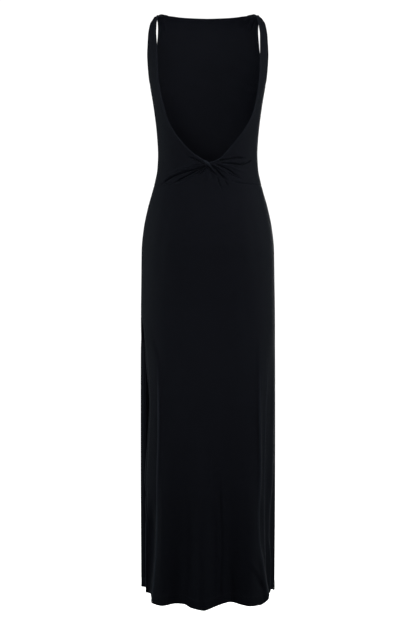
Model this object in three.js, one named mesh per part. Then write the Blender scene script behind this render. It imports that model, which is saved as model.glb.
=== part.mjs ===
// A sleeveless maxi dress with an open back, in its worn shape with no wearer inside.
// It has a front panel, two back halves that carry the straps, the twist where those
// halves cross at the waist, and a back skirt with a slit in the wearer's left seam.
// The cloth is one thin wall, open at the neck, armholes, back, slit and hem.
import * as THREE from 'three';

// Driving dimensions, in millimetres. The origin is midway between the two straps, at
// the height where they lie on the shoulders. +Z is up, the front faces -Y and the
// wearer's left is +X. A drop is a distance down from the top of the straps.
const WALL = 1.6;
const SEAM_GAP = 0.3;
const NECK_HALF = 98;
const NECK_DIP = 3;
const UNDERARM_DROP = 190;
const TWIST_ZONE_DROP = 340;
const WAIST_SEAM_DROP = 430;
const SLIT_DROP = 755;
const SIDE_HEM_DROP = 1441;
const FRONT_HEM_DROP = 1446;
const BACK_HEM_DROP = 1449;

// Half the width, the depth behind and in front of the side seams, and how square the
// ring is, at each level of the dress.
const LEVELS = [
  { drop: 0, half: 124, back: 40, front: 56, square: 2.2 },
  { drop: 15, half: 142, back: 50, front: 66, square: 2.2 },
  { drop: 30, half: 150, back: 58, front: 74, square: 2.2 },
  { drop: 60, half: 154, back: 66, front: 84, square: 2.2 },
  { drop: 100, half: 153.5, back: 72, front: 94, square: 2.2 },
  { drop: 150, half: 149.5, back: 77, front: 106, square: 2.2 },
  { drop: 190, half: 141.4, back: 79, front: 110, square: 2.2 },
  { drop: 240, half: 133.1, back: 79, front: 104, square: 2.2 },
  { drop: 300, half: 126, back: 76, front: 96, square: 2.2 },
  { drop: 352, half: 123.2, back: 74, front: 92, square: 2.2 },
  { drop: 390, half: 125.2, back: 77, front: 93, square: 2.2 },
  { drop: 415, half: 129.9, back: 82, front: 96, square: 2.25 },
  { drop: 440, half: 136.1, back: 89, front: 99, square: 2.25 },
  { drop: 490, half: 149.9, back: 105, front: 104, square: 2.3 },
  { drop: 540, half: 159.7, back: 118, front: 107, square: 2.35 },
  { drop: 590, half: 164.4, back: 124, front: 108, square: 2.4 },
  { drop: 665, half: 165.4, back: 124, front: 108, square: 2.5 },
  { drop: 755, half: 166.5, back: 121, front: 109, square: 2.6 },
  { drop: 1000, half: 167.1, back: 124, front: 115, square: 2.8 },
  { drop: 1250, half: 166.8, back: 136, front: 124, square: 3.0 },
  { drop: 1460, half: 166, back: 150, front: 132, square: 3.2 },
];

// The front panel's armhole edge: how far it is from the middle at each drop.
const FRONT_ARMHOLE = [
  { drop: 6, x: 121.5 },
  { drop: 15, x: 124.5 },
  { drop: 60, x: 127 },
  { drop: 100, x: 128.5 },
  { drop: 140, x: 131.5 },
  { drop: 165, x: 136 },
  { drop: 180, x: 140 },
  { drop: 190, x: 141.4 },
];

// The strap from its seam with the front panel, over the shoulder and down the back:
// its edge towards the neck and its edge towards the arm.
const STRAP = [
  { neckX: 97, neckY: -36.5, neckDrop: 1.0, armX: 121.5, armY: -17.5, armDrop: 5.6 },
  { neckX: 99.5, neckY: -29, neckDrop: 0.1, armX: 124.5, armY: -9, armDrop: 3.2 },
  { neckX: 105, neckY: -17, neckDrop: 0.3, armX: 129, armY: 1, armDrop: 4.6 },
  { neckX: 113, neckY: -4, neckDrop: 1.6, armX: 134, armY: 10, armDrop: 9 },
  { neckX: 121, neckY: 8, neckDrop: 5, armX: 139.5, armY: 17, armDrop: 16 },
  { neckX: 127.5, neckY: 20, neckDrop: 11.5, armX: 144, armY: 21, armDrop: 26 },
  { neckX: 130, neckY: 31, neckDrop: 24, armX: 147, armY: 24, armDrop: 42 },
  { neckX: 130.2, neckY: 39, neckDrop: 46, armX: 148.8, armY: 25, armDrop: 66 },
];

// The open back's edge: how far it is from the middle on each side at each drop.
const OPEN_BACK = [
  { drop: 46, left: 130.2, right: 130.2 },
  { drop: 82, left: 126.2, right: 129.6 },
  { drop: 102, left: 124.8, right: 128.9 },
  { drop: 144, left: 122.4, right: 128 },
  { drop: 180, left: 119.8, right: 125 },
  { drop: 220, left: 111, right: 119 },
  { drop: 265, left: 98.8, right: 105.4 },
  { drop: 300, left: 81.5, right: 85 },
  { drop: 330, left: 59, right: 62.4 },
  { drop: 355, left: 33.6, right: 42 },
  { drop: 365, left: 20, right: 32 },
  { drop: 371, left: 10.5, right: 22 },
  { drop: 376, left: 3, right: 10 },
  { drop: 378, left: 0, right: 0 },
];

// The back half's arm edge and side seam below the strap. The arm edge stands clear of
// the side seam's plane until the underarm.
const BACK_ARMHOLE = [
  { drop: 66, x: 148.8, y: 25 },
  { drop: 100, x: 149.6, y: 25 },
  { drop: 130, x: 148.4, y: 22 },
  { drop: 160, x: 145.6, y: 15 },
  { drop: 180, x: 142.6, y: 7 },
  { drop: 190, x: 141.4, y: 0 },
];

// Rows of a back half below its strap, each from the open back's edge to the outside.
// A row ends on the side at a drop, and then along the waist seam at a turn, in degrees
// round from the side seam.
const HALF_ROWS = [
  { open: 82, side: 96 },
  { open: 112, side: 128 },
  { open: 142, side: 160 },
  { open: 158, side: 178 },
  { open: 172, side: 190 },
  { open: 204, side: 230 },
  { open: 238, side: 272 },
  { open: 268, side: 312 },
  { open: 292, side: 350 },
  { open: 310, side: 382 },
  { open: 324, side: 408 },
  { open: 335, side: 430 },
  { open: 344, turn: 11 },
  { open: 350, turn: 22 },
  { open: 355, turn: 33 },
  { open: 359, turn: 43 },
  { open: 362.5, turn: 52 },
  { open: 365.5, turn: 60 },
  { open: 368, turn: 67 },
  { open: 370.5, turn: 73 },
  { open: 373, turn: 79 },
  { open: 375.5, turn: 84.5 },
  { open: 378, turn: 90 },
];

// The seam that joins the back halves to the back skirt rises to the twist.
const WAIST_SEAM = [
  { turn: 0, drop: 430 },
  { turn: 50, drop: 429 },
  { turn: 63, drop: 425 },
  { turn: 72, drop: 417 },
  { turn: 80, drop: 405 },
  { turn: 85, drop: 398 },
  { turn: 90, drop: 396 },
];

// The pleats that run out from the twist: their course on the back, with the distance
// from the middle to the wearer's left, half their width and their depth.
const PLEATS = [
  { course: [[46, 363.5], [26, 369.5], [10, 379]], half: 5, depth: 2.2 },
  { course: [[13, 385], [57, 396], [94, 412], [115, 427]], half: 6, depth: 4 },
  { course: [[13, 390], [52, 410], [80, 426]], half: 5, depth: 3.2 },
  { course: [[-29, 370], [-46, 366.5], [-97, 362.6]], half: 5.5, depth: 2.2 },
  { course: [[-20, 380.5], [-46, 393], [-80, 415]], half: 5.5, depth: 3 },
  { course: [[-8, 383], [-29, 401], [-49, 420]], half: 5, depth: 3.2 },
];

// The back skirt's slit edge: how far out and how far back it hangs at each drop.
const SLIT_EDGE = [
  { drop: 755, x: 166.4, y: 0.2 },
  { drop: 800, x: 159, y: 30 },
  { drop: 835, x: 155, y: 42 },
  { drop: 880, x: 152.2, y: 50 },
  { drop: 980, x: 150.8, y: 54 },
  { drop: 1060, x: 150.5, y: 53 },
  { drop: 1140, x: 152.8, y: 48 },
  { drop: 1220, x: 154.4, y: 42 },
  { drop: 1441, x: 154.6, y: 30 },
];

// The back skirt's upright creases, where the cloth turns towards the front: how far
// they are from the middle at each drop, and how far they stand out.
const CREASES = [
  { drop: 840, left: 121.5, right: 124.5, out: 0 },
  { drop: 1000, left: 120, right: 126, out: 2 },
  { drop: 1130, left: 121.8, right: 127.5, out: 3.5 },
  { drop: 1230, left: 122.5, right: 122.3, out: 5 },
  { drop: 1300, left: 126, right: 124.5, out: 6.5 },
  { drop: 1380, left: 131, right: 136, out: 8 },
  { drop: 1450, left: 135, right: 142, out: 9 },
];
const CREASE_HALF = 16;

// Near the hem the right side pinches in just behind its seam: the pinch's depth, how
// far behind the seam it is deepest, how far it fades behind that and where it starts.
const PINCH = { depth: 11, behind: 26, fade: 90, top: 1120 };

// The flutes of the back hem: where each stands, half its width, how far it swells out
// and how much lower the hem hangs there.
const FLUTES = [
  { x: 13, half: 34, out: 20, sag: 9 },
  { x: 110, half: 30, out: 5, sag: 5 },
  { x: -103, half: 34, out: 8, sag: 5 },
  { x: -55, half: 26, out: -8, sag: -3 },
  { x: 68, half: 26, out: -6, sag: -2 },
];
const FLUTE_TOP_DROP = 1000;

// How far round from the slit edge to the middle of the back, as a share, the cloth
// follows the slit edge.
const SLIT_REACH = 0.5;

// The front hem has two broad flutes of its own.
const FRONT_FLUTES = [
  { x: -62, half: 44, out: 12, sag: 4 },
  { x: 58, half: 40, out: 10, sag: 3 },
];

// The twist's roll, from the left half's open edge down over the right half: its course
// with its distance above the cloth, its width across and its thickness.
const TWIST = [
  { x: 13, drop: 369, lift: 1.2, wide: 3, thick: 1.6 },
  { x: 8, drop: 373.5, lift: 2.3, wide: 5, thick: 3.2 },
  { x: 1, drop: 379, lift: 2.8, wide: 6.6, thick: 4.2 },
  { x: -7, drop: 386, lift: 2.8, wide: 6.6, thick: 4.2 },
  { x: -14, drop: 393.5, lift: 2.3, wide: 5, thick: 3.2 },
  { x: -20, drop: 400.5, lift: 1.4, wide: 3, thick: 1.8 },
];
const TWIST_SIDES = 10;

// How many cells the front panel and a back half have across.
const FRONT_ACROSS = 30;
const HALF_ACROSS = 11;

// The jersey's colour where it is seen on the front panel, the back and the twist.
const FRONT_COLOR = 0x0f1216;
const BODICE_COLOR = 0x12161b;
const SKIRT_COLOR = 0x11151a;
const TWIST_COLOR = 0x14191e;

const QUARTER = Math.PI / 2;
const jersey = (color) => new THREE.MeshStandardMaterial({ color, roughness: 0.62, metalness: 0 });

// Reads a table between its rows on a smooth curve that never overshoots them.
function between(rows, key, drop, by = 'drop') {
  const last = rows.length - 1;
  if (drop <= rows[0][by]) return rows[0][key];
  if (drop >= rows[last][by]) return rows[last][key];
  const slope = (i) => (rows[i + 1][key] - rows[i][key]) / (rows[i + 1][by] - rows[i][by]);
  const tangent = (i) => {
    if (i === 0) return slope(0);
    if (i === last) return slope(last - 1);
    const before = slope(i - 1);
    const after = slope(i);
    return before * after <= 0 ? 0 : (2 * before * after) / (before + after);
  };
  let i = 0;
  while (drop > rows[i + 1][by]) i += 1;
  const span = rows[i + 1][by] - rows[i][by];
  const t = (drop - rows[i][by]) / span;
  const t2 = t * t;
  const t3 = t2 * t;
  return (2 * t3 - 3 * t2 + 1) * rows[i][key] + (t3 - 2 * t2 + t) * span * tangent(i)
    + (3 * t2 - 2 * t3) * rows[i + 1][key] + (t3 - t2) * span * tangent(i + 1);
}

const mix = (a, b, t) => a + (b - a) * t;
const ease = (t) => {
  const s = Math.min(Math.max(t, 0), 1);
  return s * s * (3 - 2 * s);
};
const bump = (t) => (Math.abs(t) >= 1 ? 0 : (1 + Math.cos(Math.PI * t)) / 2);

// A point on the ring of the dress at a drop. The turn is 0 at the wearer's left side,
// a quarter at the middle of the back and minus a quarter at the middle of the front.
function ringPoint(drop, turn) {
  const power = 2 / between(LEVELS, 'square', drop);
  const depth = between(LEVELS, Math.sin(turn) < 0 ? 'front' : 'back', drop);
  const across = Math.cos(turn);
  const away = Math.sin(turn);
  const x = between(LEVELS, 'half', drop) * Math.sign(across) * Math.abs(across) ** power;
  const y = depth * Math.sign(away) * Math.abs(away) ** power;
  return new THREE.Vector3(x, y, WALL - drop);
}

// The turns that split a stretch of a ring into cells of equal length.
function evenTurns(drop, from, to, cells) {
  const steps = 120;
  const turns = Array.from({ length: steps + 1 }, (unused, i) => mix(from, to, i / steps));
  const reach = [0];
  turns.slice(1).forEach((turn, i) => {
    reach.push(reach[i] + ringPoint(drop, turn).distanceTo(ringPoint(drop, turns[i])));
  });
  return Array.from({ length: cells + 1 }, (unused, cell) => {
    const target = (reach[steps] * cell) / cells;
    const i = Math.max(reach.findIndex((length) => length >= target - 1e-9), 1);
    return mix(turns[i - 1], turns[i], (target - reach[i - 1]) / (reach[i] - reach[i - 1]));
  });
}

// The turn at which a ring is a given distance from the middle.
function turnAt(drop, x) {
  const share = Math.min(Math.abs(x) / between(LEVELS, 'half', drop), 1);
  const turn = Math.acos(share ** (between(LEVELS, 'square', drop) / 2));
  return x < 0 ? Math.PI - turn : turn;
}

// Distance from a point on the back to a pleat's course, and how far along it that is.
function courseDistance(course, x, drop) {
  let best = { gap: Infinity, along: 0 };
  let done = 0;
  const lengths = course.slice(1).map((end, i) => Math.hypot(end[0] - course[i][0], end[1] - course[i][1]));
  const whole = lengths.reduce((sum, length) => sum + length, 0);
  lengths.forEach((length, i) => {
    const [x0, d0] = course[i];
    const [x1, d1] = course[i + 1];
    const dot = ((x - x0) * (x1 - x0) + (drop - d0) * (d1 - d0)) / (length * length);
    const t = Math.min(Math.max(dot, 0), 1);
    const gap = Math.hypot(x - mix(x0, x1, t), drop - mix(d0, d1, t));
    if (gap < best.gap) best = { gap, along: (done + t * length) / whole };
    done += length;
  });
  return best;
}

// How far the pleats press the back in at a point, fading at each pleat's outer end.
function pleatDepth(x, drop) {
  return PLEATS.reduce((sum, pleat) => {
    const { gap, along } = courseDistance(pleat.course, x, drop);
    return sum + pleat.depth * bump(gap / pleat.half) * (1 - 0.7 * along);
  }, 0);
}

// The way out of the ring surface at a point of the dress, before any fold.
function ringNormal(drop, turn) {
  const along = ringPoint(drop + 1, turn).sub(ringPoint(drop - 1, turn));
  const across = ringPoint(drop, turn + 0.01).sub(ringPoint(drop, turn - 0.01));
  return along.cross(across).normalize();
}

// Makes a closed wall from a grid of outer points: the inner face lies a wall's
// thickness inside, and the four edges are closed. Near a waist seam the points come
// with the ring's own normals, so that both sides of the seam agree, and edges at a
// side seam or at the middle stay in that seam's plane.
function wall(grid, ringNormals = []) {
  const rows = grid.length;
  const cols = grid[0].length;
  const at = (r, c) => grid[Math.min(Math.max(r, 0), rows - 1)][Math.min(Math.max(c, 0), cols - 1)];
  const normalAt = (r, c) => {
    const along = at(r + 1, c).clone().sub(at(r - 1, c));
    const across = at(r, c + 1).clone().sub(at(r, c - 1));
    const normal = ringNormals[r]?.[c] ?? along.cross(across).normalize();
    if (Math.abs(at(r, c).y) < SEAM_GAP) normal.setY(0);
    if (Math.abs(at(r, c).x) < SEAM_GAP) normal.setX(0);
    return normal.normalize();
  };
  const positions = [];
  const outer = [];
  const inner = [];
  for (let r = 0; r < rows; r += 1) {
    for (let c = 0; c < cols; c += 1) {
      const point = at(r, c);
      outer.push(point);
      inner.push(point.clone().addScaledVector(normalAt(r, c), -WALL));
    }
  }
  [...outer, ...inner].forEach((point) => positions.push(point.x, point.y, point.z));
  const index = [];
  const face = (a, b, c, d) => index.push(a, b, c, a, c, d);
  const front = (r, c) => r * cols + c;
  const back = (r, c) => rows * cols + r * cols + c;
  for (let r = 0; r < rows - 1; r += 1) {
    for (let c = 0; c < cols - 1; c += 1) {
      face(front(r, c), front(r + 1, c), front(r + 1, c + 1), front(r, c + 1));
      face(back(r, c), back(r, c + 1), back(r + 1, c + 1), back(r + 1, c));
    }
  }
  for (let c = 0; c < cols - 1; c += 1) {
    face(front(0, c), front(0, c + 1), back(0, c + 1), back(0, c));
    face(front(rows - 1, c + 1), front(rows - 1, c), back(rows - 1, c), back(rows - 1, c + 1));
  }
  for (let r = 0; r < rows - 1; r += 1) {
    face(front(r + 1, 0), front(r, 0), back(r, 0), back(r + 1, 0));
    face(front(r, cols - 1), front(r + 1, cols - 1), back(r + 1, cols - 1), back(r, cols - 1));
  }
  const geometry = new THREE.BufferGeometry();
  geometry.setAttribute('position', new THREE.Float32BufferAttribute(positions, 3));
  geometry.setIndex(index);
  return geometry;
}

function piece(name, geometry, color) {
  const mesh = new THREE.Mesh(geometry, jersey(color));
  mesh.name = name;
  return mesh;
}

// Moves a point out and down with the flutes of a hem. The side is 1 for the back and
// -1 for the front.
function fluted(point, flutes, drop, side) {
  const grown = ease((drop - FLUTE_TOP_DROP) / (SIDE_HEM_DROP - FLUTE_TOP_DROP));
  flutes.forEach((flute) => {
    const share = bump((point.x - flute.x) / flute.half) * grown;
    point.y += side * flute.out * share;
    point.z -= flute.sag * share * grown;
  });
  return point;
}

// The front panel: its top edge is the neckline and the strap seams, and its sides are
// the armholes and then the side seams.
function frontPanel() {
  const drops = [0, 7, 16, 32, 55, 85, 120, 148, 167, 180, 190, 235, 290, 350, 400, 445, 500, 560, 640,
    760, 900, 1060, 1210, 1330, 1400, SIDE_HEM_DROP];
  const neckEnd = FRONT_ARMHOLE[0].x;
  const neckDrop = (x) => {
    const pastNeck = Math.max(x - NECK_HALF, 0) / (neckEnd - NECK_HALF);
    const dip = NECK_DIP * Math.cos(Math.min(x / NECK_HALF, 1) * QUARTER);
    return 1.3 + dip + (FRONT_ARMHOLE[0].drop - 1.4) * pastNeck;
  };
  const grid = drops.map((rowDrop) => {
    const edge = rowDrop < UNDERARM_DROP ? turnAt(rowDrop, between(FRONT_ARMHOLE, 'x', rowDrop)) : 0;
    const turns = evenTurns(rowDrop, edge - Math.PI, -edge, FRONT_ACROSS);
    return turns.map((turn) => {
      const away = Math.abs(ringPoint(rowDrop, turn).x);
      const fade = 1 - ease(rowDrop / 60);
      const hemDip = (FRONT_HEM_DROP - SIDE_HEM_DROP) * ease((rowDrop - 1250) / 190) * Math.sin(-turn);
      const drop = rowDrop + neckDrop(away) * fade + hemDip;
      const point = ringPoint(drop, turn);
      point.y = Math.min(point.y, -SEAM_GAP / 2);
      return fluted(point, FRONT_FLUTES, drop, -1);
    });
  });
  return piece('front_panel', wall(grid), FRONT_COLOR);
}

// One back half. Rows run from the open back's edge to the arm or the side, over the
// strap and down the back, and turn in towards the twist along the waist seam.
function backHalf(name, side) {
  const openKey = side > 0 ? 'left' : 'right';
  const ringCoordinates = (x, y, drop) => {
    const depth = between(LEVELS, y < 0 ? 'front' : 'back', drop);
    const half = between(LEVELS, 'half', drop);
    const square = between(LEVELS, 'square', drop);
    const reach = ((x / half) ** square + (Math.abs(y) / depth) ** square) ** (1 / square);
    const turn = Math.sign(y) * Math.acos(Math.min((x / (half * reach)) ** (square / 2), 1));
    return { drop, reach, turn };
  };
  const onRing = (x, drop) => ({ drop, reach: 1, turn: turnAt(drop, x) });
  const ends = STRAP.map((row) => [
    ringCoordinates(row.neckX, row.neckY, row.neckDrop),
    ringCoordinates(row.armX, row.armY, row.armDrop),
  ]);
  HALF_ROWS.forEach((row) => {
    const open = onRing(between(OPEN_BACK, openKey, row.open), row.open);
    let outside = { drop: row.side, reach: 1, turn: 0 };
    if (row.side < UNDERARM_DROP) {
      const x = between(BACK_ARMHOLE, 'x', row.side);
      outside = ringCoordinates(x, between(BACK_ARMHOLE, 'y', row.side), row.side);
    }
    if (row.turn !== undefined) {
      const drop = between(WAIST_SEAM, 'drop', row.turn, 'turn') - SEAM_GAP / 2;
      outside = { drop, reach: 1, turn: (row.turn / 90) * QUARTER };
    }
    ends.push([open, outside]);
  });
  const rows = ends.map(([open, outside]) => {
    const cells = Array.from({ length: HALF_ACROSS + 1 }, (unused, c) => c / HALF_ACROSS);
    return (side > 0 ? cells.reverse() : cells).map((t) => {
      const drop = mix(open.drop, outside.drop, t);
      const turn = mix(open.turn, outside.turn, t);
      const reach = mix(open.reach, outside.reach, t);
      const point = ringPoint(drop, turn);
      point.x = side * Math.max(point.x * reach, SEAM_GAP / 2);
      point.y *= reach;
      if (drop > UNDERARM_DROP - 1) point.y = Math.max(point.y, SEAM_GAP / 2);
      if (drop <= TWIST_ZONE_DROP) return { point };
      point.y -= pleatDepth(point.x, drop);
      return { point, normal: ringNormal(drop, side > 0 ? turn : Math.PI - turn) };
    });
  });
  const grid = rows.map((row) => row.map((cell) => cell.point));
  return piece(name, wall(grid, rows.map((row) => row.map((cell) => cell.normal))), BODICE_COLOR);
}

// The back skirt: its top edge is the waist seam, its right side the side seam, and its
// left side the side seam down to the slit and then the free edge.
function backSkirt() {
  const seamTurns = [0, ...HALF_ROWS.filter((row) => row.turn).map((row) => row.turn)];
  const columns = [...seamTurns, ...seamTurns.slice(0, -1).reverse().map((turn) => 180 - turn)];
  const levels = [0, 16, 36, 62, 95, 140, 200, 270, 325, 340, 370, 410, 470, 560, 650, 720, 780, 840, 895,
    945, 985, SIDE_HEM_DROP - WAIST_SEAM_DROP];
  const seamNormals = [];
  const grid = levels.map((level, r) => {
    seamNormals.push([]);
    const evened = evenTurns(WAIST_SEAM_DROP + level, 0, Math.PI, columns.length - 1);
    return columns.map((degrees, c) => {
      const turn = mix((degrees / 90) * QUARTER, evened[c], ease(level / 200));
      const top = between(WAIST_SEAM, 'drop', Math.min(degrees, 180 - degrees), 'turn') + SEAM_GAP / 2;
      const base = mix(top, WAIST_SEAM_DROP, ease(level / 95)) + level;
      const hemShare = ease((base - 1250) / (SIDE_HEM_DROP - 1250));
      const drop = base + (BACK_HEM_DROP - SIDE_HEM_DROP) * hemShare * Math.sin(turn);
      const point = ringPoint(drop, turn);
      if (r < 3) seamNormals[r].push(ringNormal(drop, turn));
      point.y = Math.max(point.y, SEAM_GAP / 2) - pleatDepth(point.x, drop) * (1 - ease(level / 62));
      shapeCreases(point, drop);
      pinchSide(point, drop);
      hangSlitEdge(point, drop, turn / QUARTER);
      return fluted(point, FLUTES, drop, 1);
    });
  });
  return piece('back_skirt', wall(grid, seamNormals), SKIRT_COLOR);
}

// Draws the cloth out into the two upright creases.
function shapeCreases(point, drop) {
  const out = between(CREASES, 'out', drop);
  const left = bump((point.x - between(CREASES, 'left', drop)) / CREASE_HALF);
  const right = bump((point.x + between(CREASES, 'right', drop)) / CREASE_HALF);
  point.y += out * (left + right);
}

// Pulls the right side in towards the middle behind its seam.
function pinchSide(point, drop) {
  if (point.x > 0) return;
  const grown = ease((drop - PINCH.top) / (SIDE_HEM_DROP - PINCH.top));
  const behindSeam = point.y - PINCH.behind;
  point.x += PINCH.depth * grown * bump(behindSeam / (behindSeam < 0 ? PINCH.behind : PINCH.fade));
}

// Below the slit's top the cloth between the left crease and the free edge hangs
// straight from one to the other.
function hangSlitEdge(point, drop, share) {
  if (drop <= SLIT_DROP || share > SLIT_REACH) return;
  const free = 1 - ease(share / SLIT_REACH);
  const freeX = between(SLIT_EDGE, 'x', drop);
  const freeY = between(SLIT_EDGE, 'y', drop);
  const edge = ringPoint(drop, 0);
  point.x += (freeX - edge.x) * free;
  point.y += (freeY - SEAM_GAP / 2) * free;
}

// The twist: a flattened roll along its course, closed at both ends.
function backTwist() {
  const rings = TWIST.map((row, i) => {
    const before = TWIST[Math.max(i - 1, 0)];
    const after = TWIST[Math.min(i + 1, TWIST.length - 1)];
    const centre = ringPoint(row.drop, turnAt(row.drop, row.x));
    centre.y += row.lift;
    const along = new THREE.Vector3(after.x - before.x, 0, before.drop - after.drop).normalize();
    const out = new THREE.Vector3(0, 1, 0);
    const across = new THREE.Vector3().crossVectors(out, along);
    const ring = [];
    for (let k = 0; k < TWIST_SIDES; k += 1) {
      const angle = (2 * Math.PI * k) / TWIST_SIDES;
      const point = centre.clone().addScaledVector(across, (row.wide / 2) * Math.cos(angle));
      ring.push(point.addScaledVector(out, (row.thick / 2) * Math.sin(angle)));
    }
    return { centre, ring };
  });
  const positions = rings.flatMap(({ ring }) => ring.flatMap((point) => point.toArray()));
  positions.push(...rings[0].centre.toArray(), ...rings[rings.length - 1].centre.toArray());
  const index = [];
  const id = (r, k) => r * TWIST_SIDES + (k % TWIST_SIDES);
  const startCap = rings.length * TWIST_SIDES;
  for (let k = 0; k < TWIST_SIDES; k += 1) {
    for (let r = 0; r < rings.length - 1; r += 1) {
      index.push(id(r, k), id(r, k + 1), id(r + 1, k + 1), id(r, k), id(r + 1, k + 1), id(r + 1, k));
    }
    index.push(startCap, id(0, k + 1), id(0, k));
    index.push(startCap + 1, id(rings.length - 1, k), id(rings.length - 1, k + 1));
  }
  const geometry = new THREE.BufferGeometry();
  geometry.setAttribute('position', new THREE.Float32BufferAttribute(positions, 3));
  geometry.setIndex(index);
  return piece('back_twist', geometry, TWIST_COLOR);
}

const dress = new THREE.Group();
dress.add(frontPanel());
dress.add(backHalf('back_half_left', 1));
dress.add(backHalf('back_half_right', -1));
dress.add(backTwist());
dress.add(backSkirt());

export default dress;
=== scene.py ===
"""A sleeveless maxi dress in black viscose jersey, filled out in its worn shape and seen from behind.

Lengths are in millimetres until a mesh is made. +Z is up, the front faces -Y and the wearer's left is +X.
A drop is a distance down from the top of the straps. A turn is an angle round the dress: 0 at the wearer's
left side, a quarter turn at the middle of the back and minus a quarter turn at the middle of the front.
"""
import math

import bpy
import numpy as np
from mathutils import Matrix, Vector


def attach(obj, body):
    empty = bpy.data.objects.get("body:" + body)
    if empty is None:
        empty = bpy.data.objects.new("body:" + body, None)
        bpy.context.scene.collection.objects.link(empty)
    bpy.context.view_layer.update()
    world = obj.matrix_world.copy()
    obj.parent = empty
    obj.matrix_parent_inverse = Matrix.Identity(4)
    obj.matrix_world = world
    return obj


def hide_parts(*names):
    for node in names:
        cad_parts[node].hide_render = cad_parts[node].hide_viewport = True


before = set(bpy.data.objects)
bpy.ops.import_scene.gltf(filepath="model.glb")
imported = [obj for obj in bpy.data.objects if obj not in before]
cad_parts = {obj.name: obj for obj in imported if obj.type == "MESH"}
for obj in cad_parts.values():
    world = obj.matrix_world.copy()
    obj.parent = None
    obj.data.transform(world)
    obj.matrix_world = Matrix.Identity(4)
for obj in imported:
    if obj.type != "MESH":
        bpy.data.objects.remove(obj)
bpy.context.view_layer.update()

# Camera: at the height of the hips, square to the back
EYE_DISTANCE = 4200
EYE_DROP = 745
EYE_X = -0.75
VIEW_HEIGHT = 1560
SENSOR = 36

# The straps' top is as high above the origin as the fixed frame's wall is thick
WALL = 1.6

# Drops of the underarm, the seams and the hems
UNDERARM_DROP = 190
WAIST_SEAM_DROP = 430
SLIT_DROP = 755
SIDE_HEM_DROP = 1441
FRONT_HEM_DROP = 1446

# Thickness of the cloth and of a layer turned under, widths of the turned edges, where in from the edge such
# a layer starts, the rows of its grid, how far it lies off the cloth, and the gap of a seam
CLOTH = 1.1
TURN_CLOTH = 0.7
EDGE_TURN = 6
SLIT_TURN = 12
HEM_TURN = 25
TURN_START = 1.2
TURN_ROWS = 6
TURN_GAP = 0.2
SEAM_GAP = 0.3

# Relief of a turned edge: the widths over which it rises and sinks, how deep and wide the very edge rounds
# inwards, and the depth and width of its stitch line and of a seam
EDGE_RISE, EDGE_FALL = 1.4, 2.4
ROUND_DEPTH, ROUND_WIDTH = 0.9, 1.6
LINE_DEPTH, LINE_WIDTH = 0.3, 1.1
SEAM_DEPTH, SEAM_WIDTH = 1.1, 2.2

# How far a turned edge stands up: at the armholes and the neck, at the hems and the front edge of the slit,
# and at the slit's back edge
ARM_STAND = 0.6
HEM_STAND = 0.5
SLIT_STAND = 1.3

# Over what width an edge is painted lighter, a painted highlight for the light its turned rim catches, and
# over what width and how much a hem is
EDGE_HIGHLIGHT_WIDTH = 3
HEM_HIGHLIGHT_WIDTH, HEM_HIGHLIGHT = 2, 0.5

# The side seams' allowances: rows of their grids, half the width, and how far inside the plain form they lie
ALLOWANCE_ROWS = 120
ALLOWANCE_HALF = 6
ALLOWANCE_IN = 2.6

# Stitches: length, gap, thickness of the thread, and how far from a turn's inner side the rows lie. A stitch
# is a spindle of rings, each with its place along half the length and its share of the thickness.
STITCH = 3.0
STITCH_GAP = 1.0
THREAD = 0.36
ROW_IN, SECOND_ROW_IN = 1.2, 3.6
SPINDLE = ((-1, 0.02), (-0.6, 1), (0.6, 1), (1, 0.02))
SPINDLE_SIDES = 6

# The plain form at each drop: half the width, the depth behind and in front of the side seams, and how
# square the ring is
LEVELS = (
    (0, 129, 40, 56, 2.2), (15, 142, 50, 66, 2.2), (30, 150, 58, 74, 2.2), (60, 154, 66, 84, 2.2),
    (100, 153.5, 72, 94, 2.2), (150, 149.5, 77, 106, 2.2), (190, 141.4, 79, 110, 2.2),
    (240, 133.1, 79, 104, 2.2), (300, 126, 76, 96, 2.2), (352, 123.2, 74, 92, 2.2),
    (390, 125.2, 77, 93, 2.2), (415, 129.9, 82, 96, 2.25), (440, 136.1, 89, 99, 2.25),
    (490, 149.9, 105, 104, 2.3), (540, 159.7, 118, 107, 2.35), (590, 164.4, 124, 108, 2.4),
    (665, 165.4, 124, 108, 2.5), (755, 166.5, 121, 109, 2.6), (1000, 167.1, 124, 115, 2.8),
    (1250, 166.8, 136, 124, 3.0), (1460, 166, 150, 132, 3.2),
)
HALF, BACK, FRONT, SQUARE = 1, 2, 3, 4

# How much wider the cloth hangs than that form: drop, on the left, on the right
WIDEN = (
    (40, 0, 0), (120, 1.4, 1.8), (250, 1.5, 1.8), (340, 1.2, 1.2), (440, 0.8, 1.2), (600, 0.6, 1.4),
    (760, 0.2, 1.6), (900, 0, 2), (1200, 0, 1.9), (1440, 0.3, 1.4),
)

# The neckline and the shoulder seams: distance from the middle, drop
NECKLINE = ((0, 1.6), (45, 0.6), (71, -0.3), (88, -1.3), (98, -1.8), (110, -2.3), (118, -1.2), (127, 2.6))

# The front panel's armhole edges: drop, distance from the middle on the left and on the right
FRONT_ARMHOLE = (
    (3, 126.1, 127.3), (10, 125.9, 127.4), (20, 125.6, 127.7), (36, 126.4, 128.1), (50, 127.1, 128.7),
    (65, 128.4, 129.7), (84, 130, 131), (100, 131.3, 132.6), (140, 133.5, 134.6), (165, 137, 137.4),
    (180, 140.2, 140.4), (190, 141.4, 141.4),
)

# The strap from its seam with the front panel, over the shoulder and down the back:
# x, y and drop of its edge towards the neck, then of its edge towards the arm
STRAP = (
    (97, -40.5, -1.9, 126.5, -13.5, 2.4), (99.5, -32, -1.6, 126.8, -6, 2.6), (105, -19, -0.9, 127.2, 2, 3.6),
    (113, -4, -0.1, 128.8, 10, 7.4), (120, 8, 3.2, 134.8, 17, 14.5), (124.6, 20, 10.5, 142.3, 21, 25.5),
    (126.7, 31, 24, 146.6, 24, 42), (127.7, 39, 46, 148.6, 25, 66),
)

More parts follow.
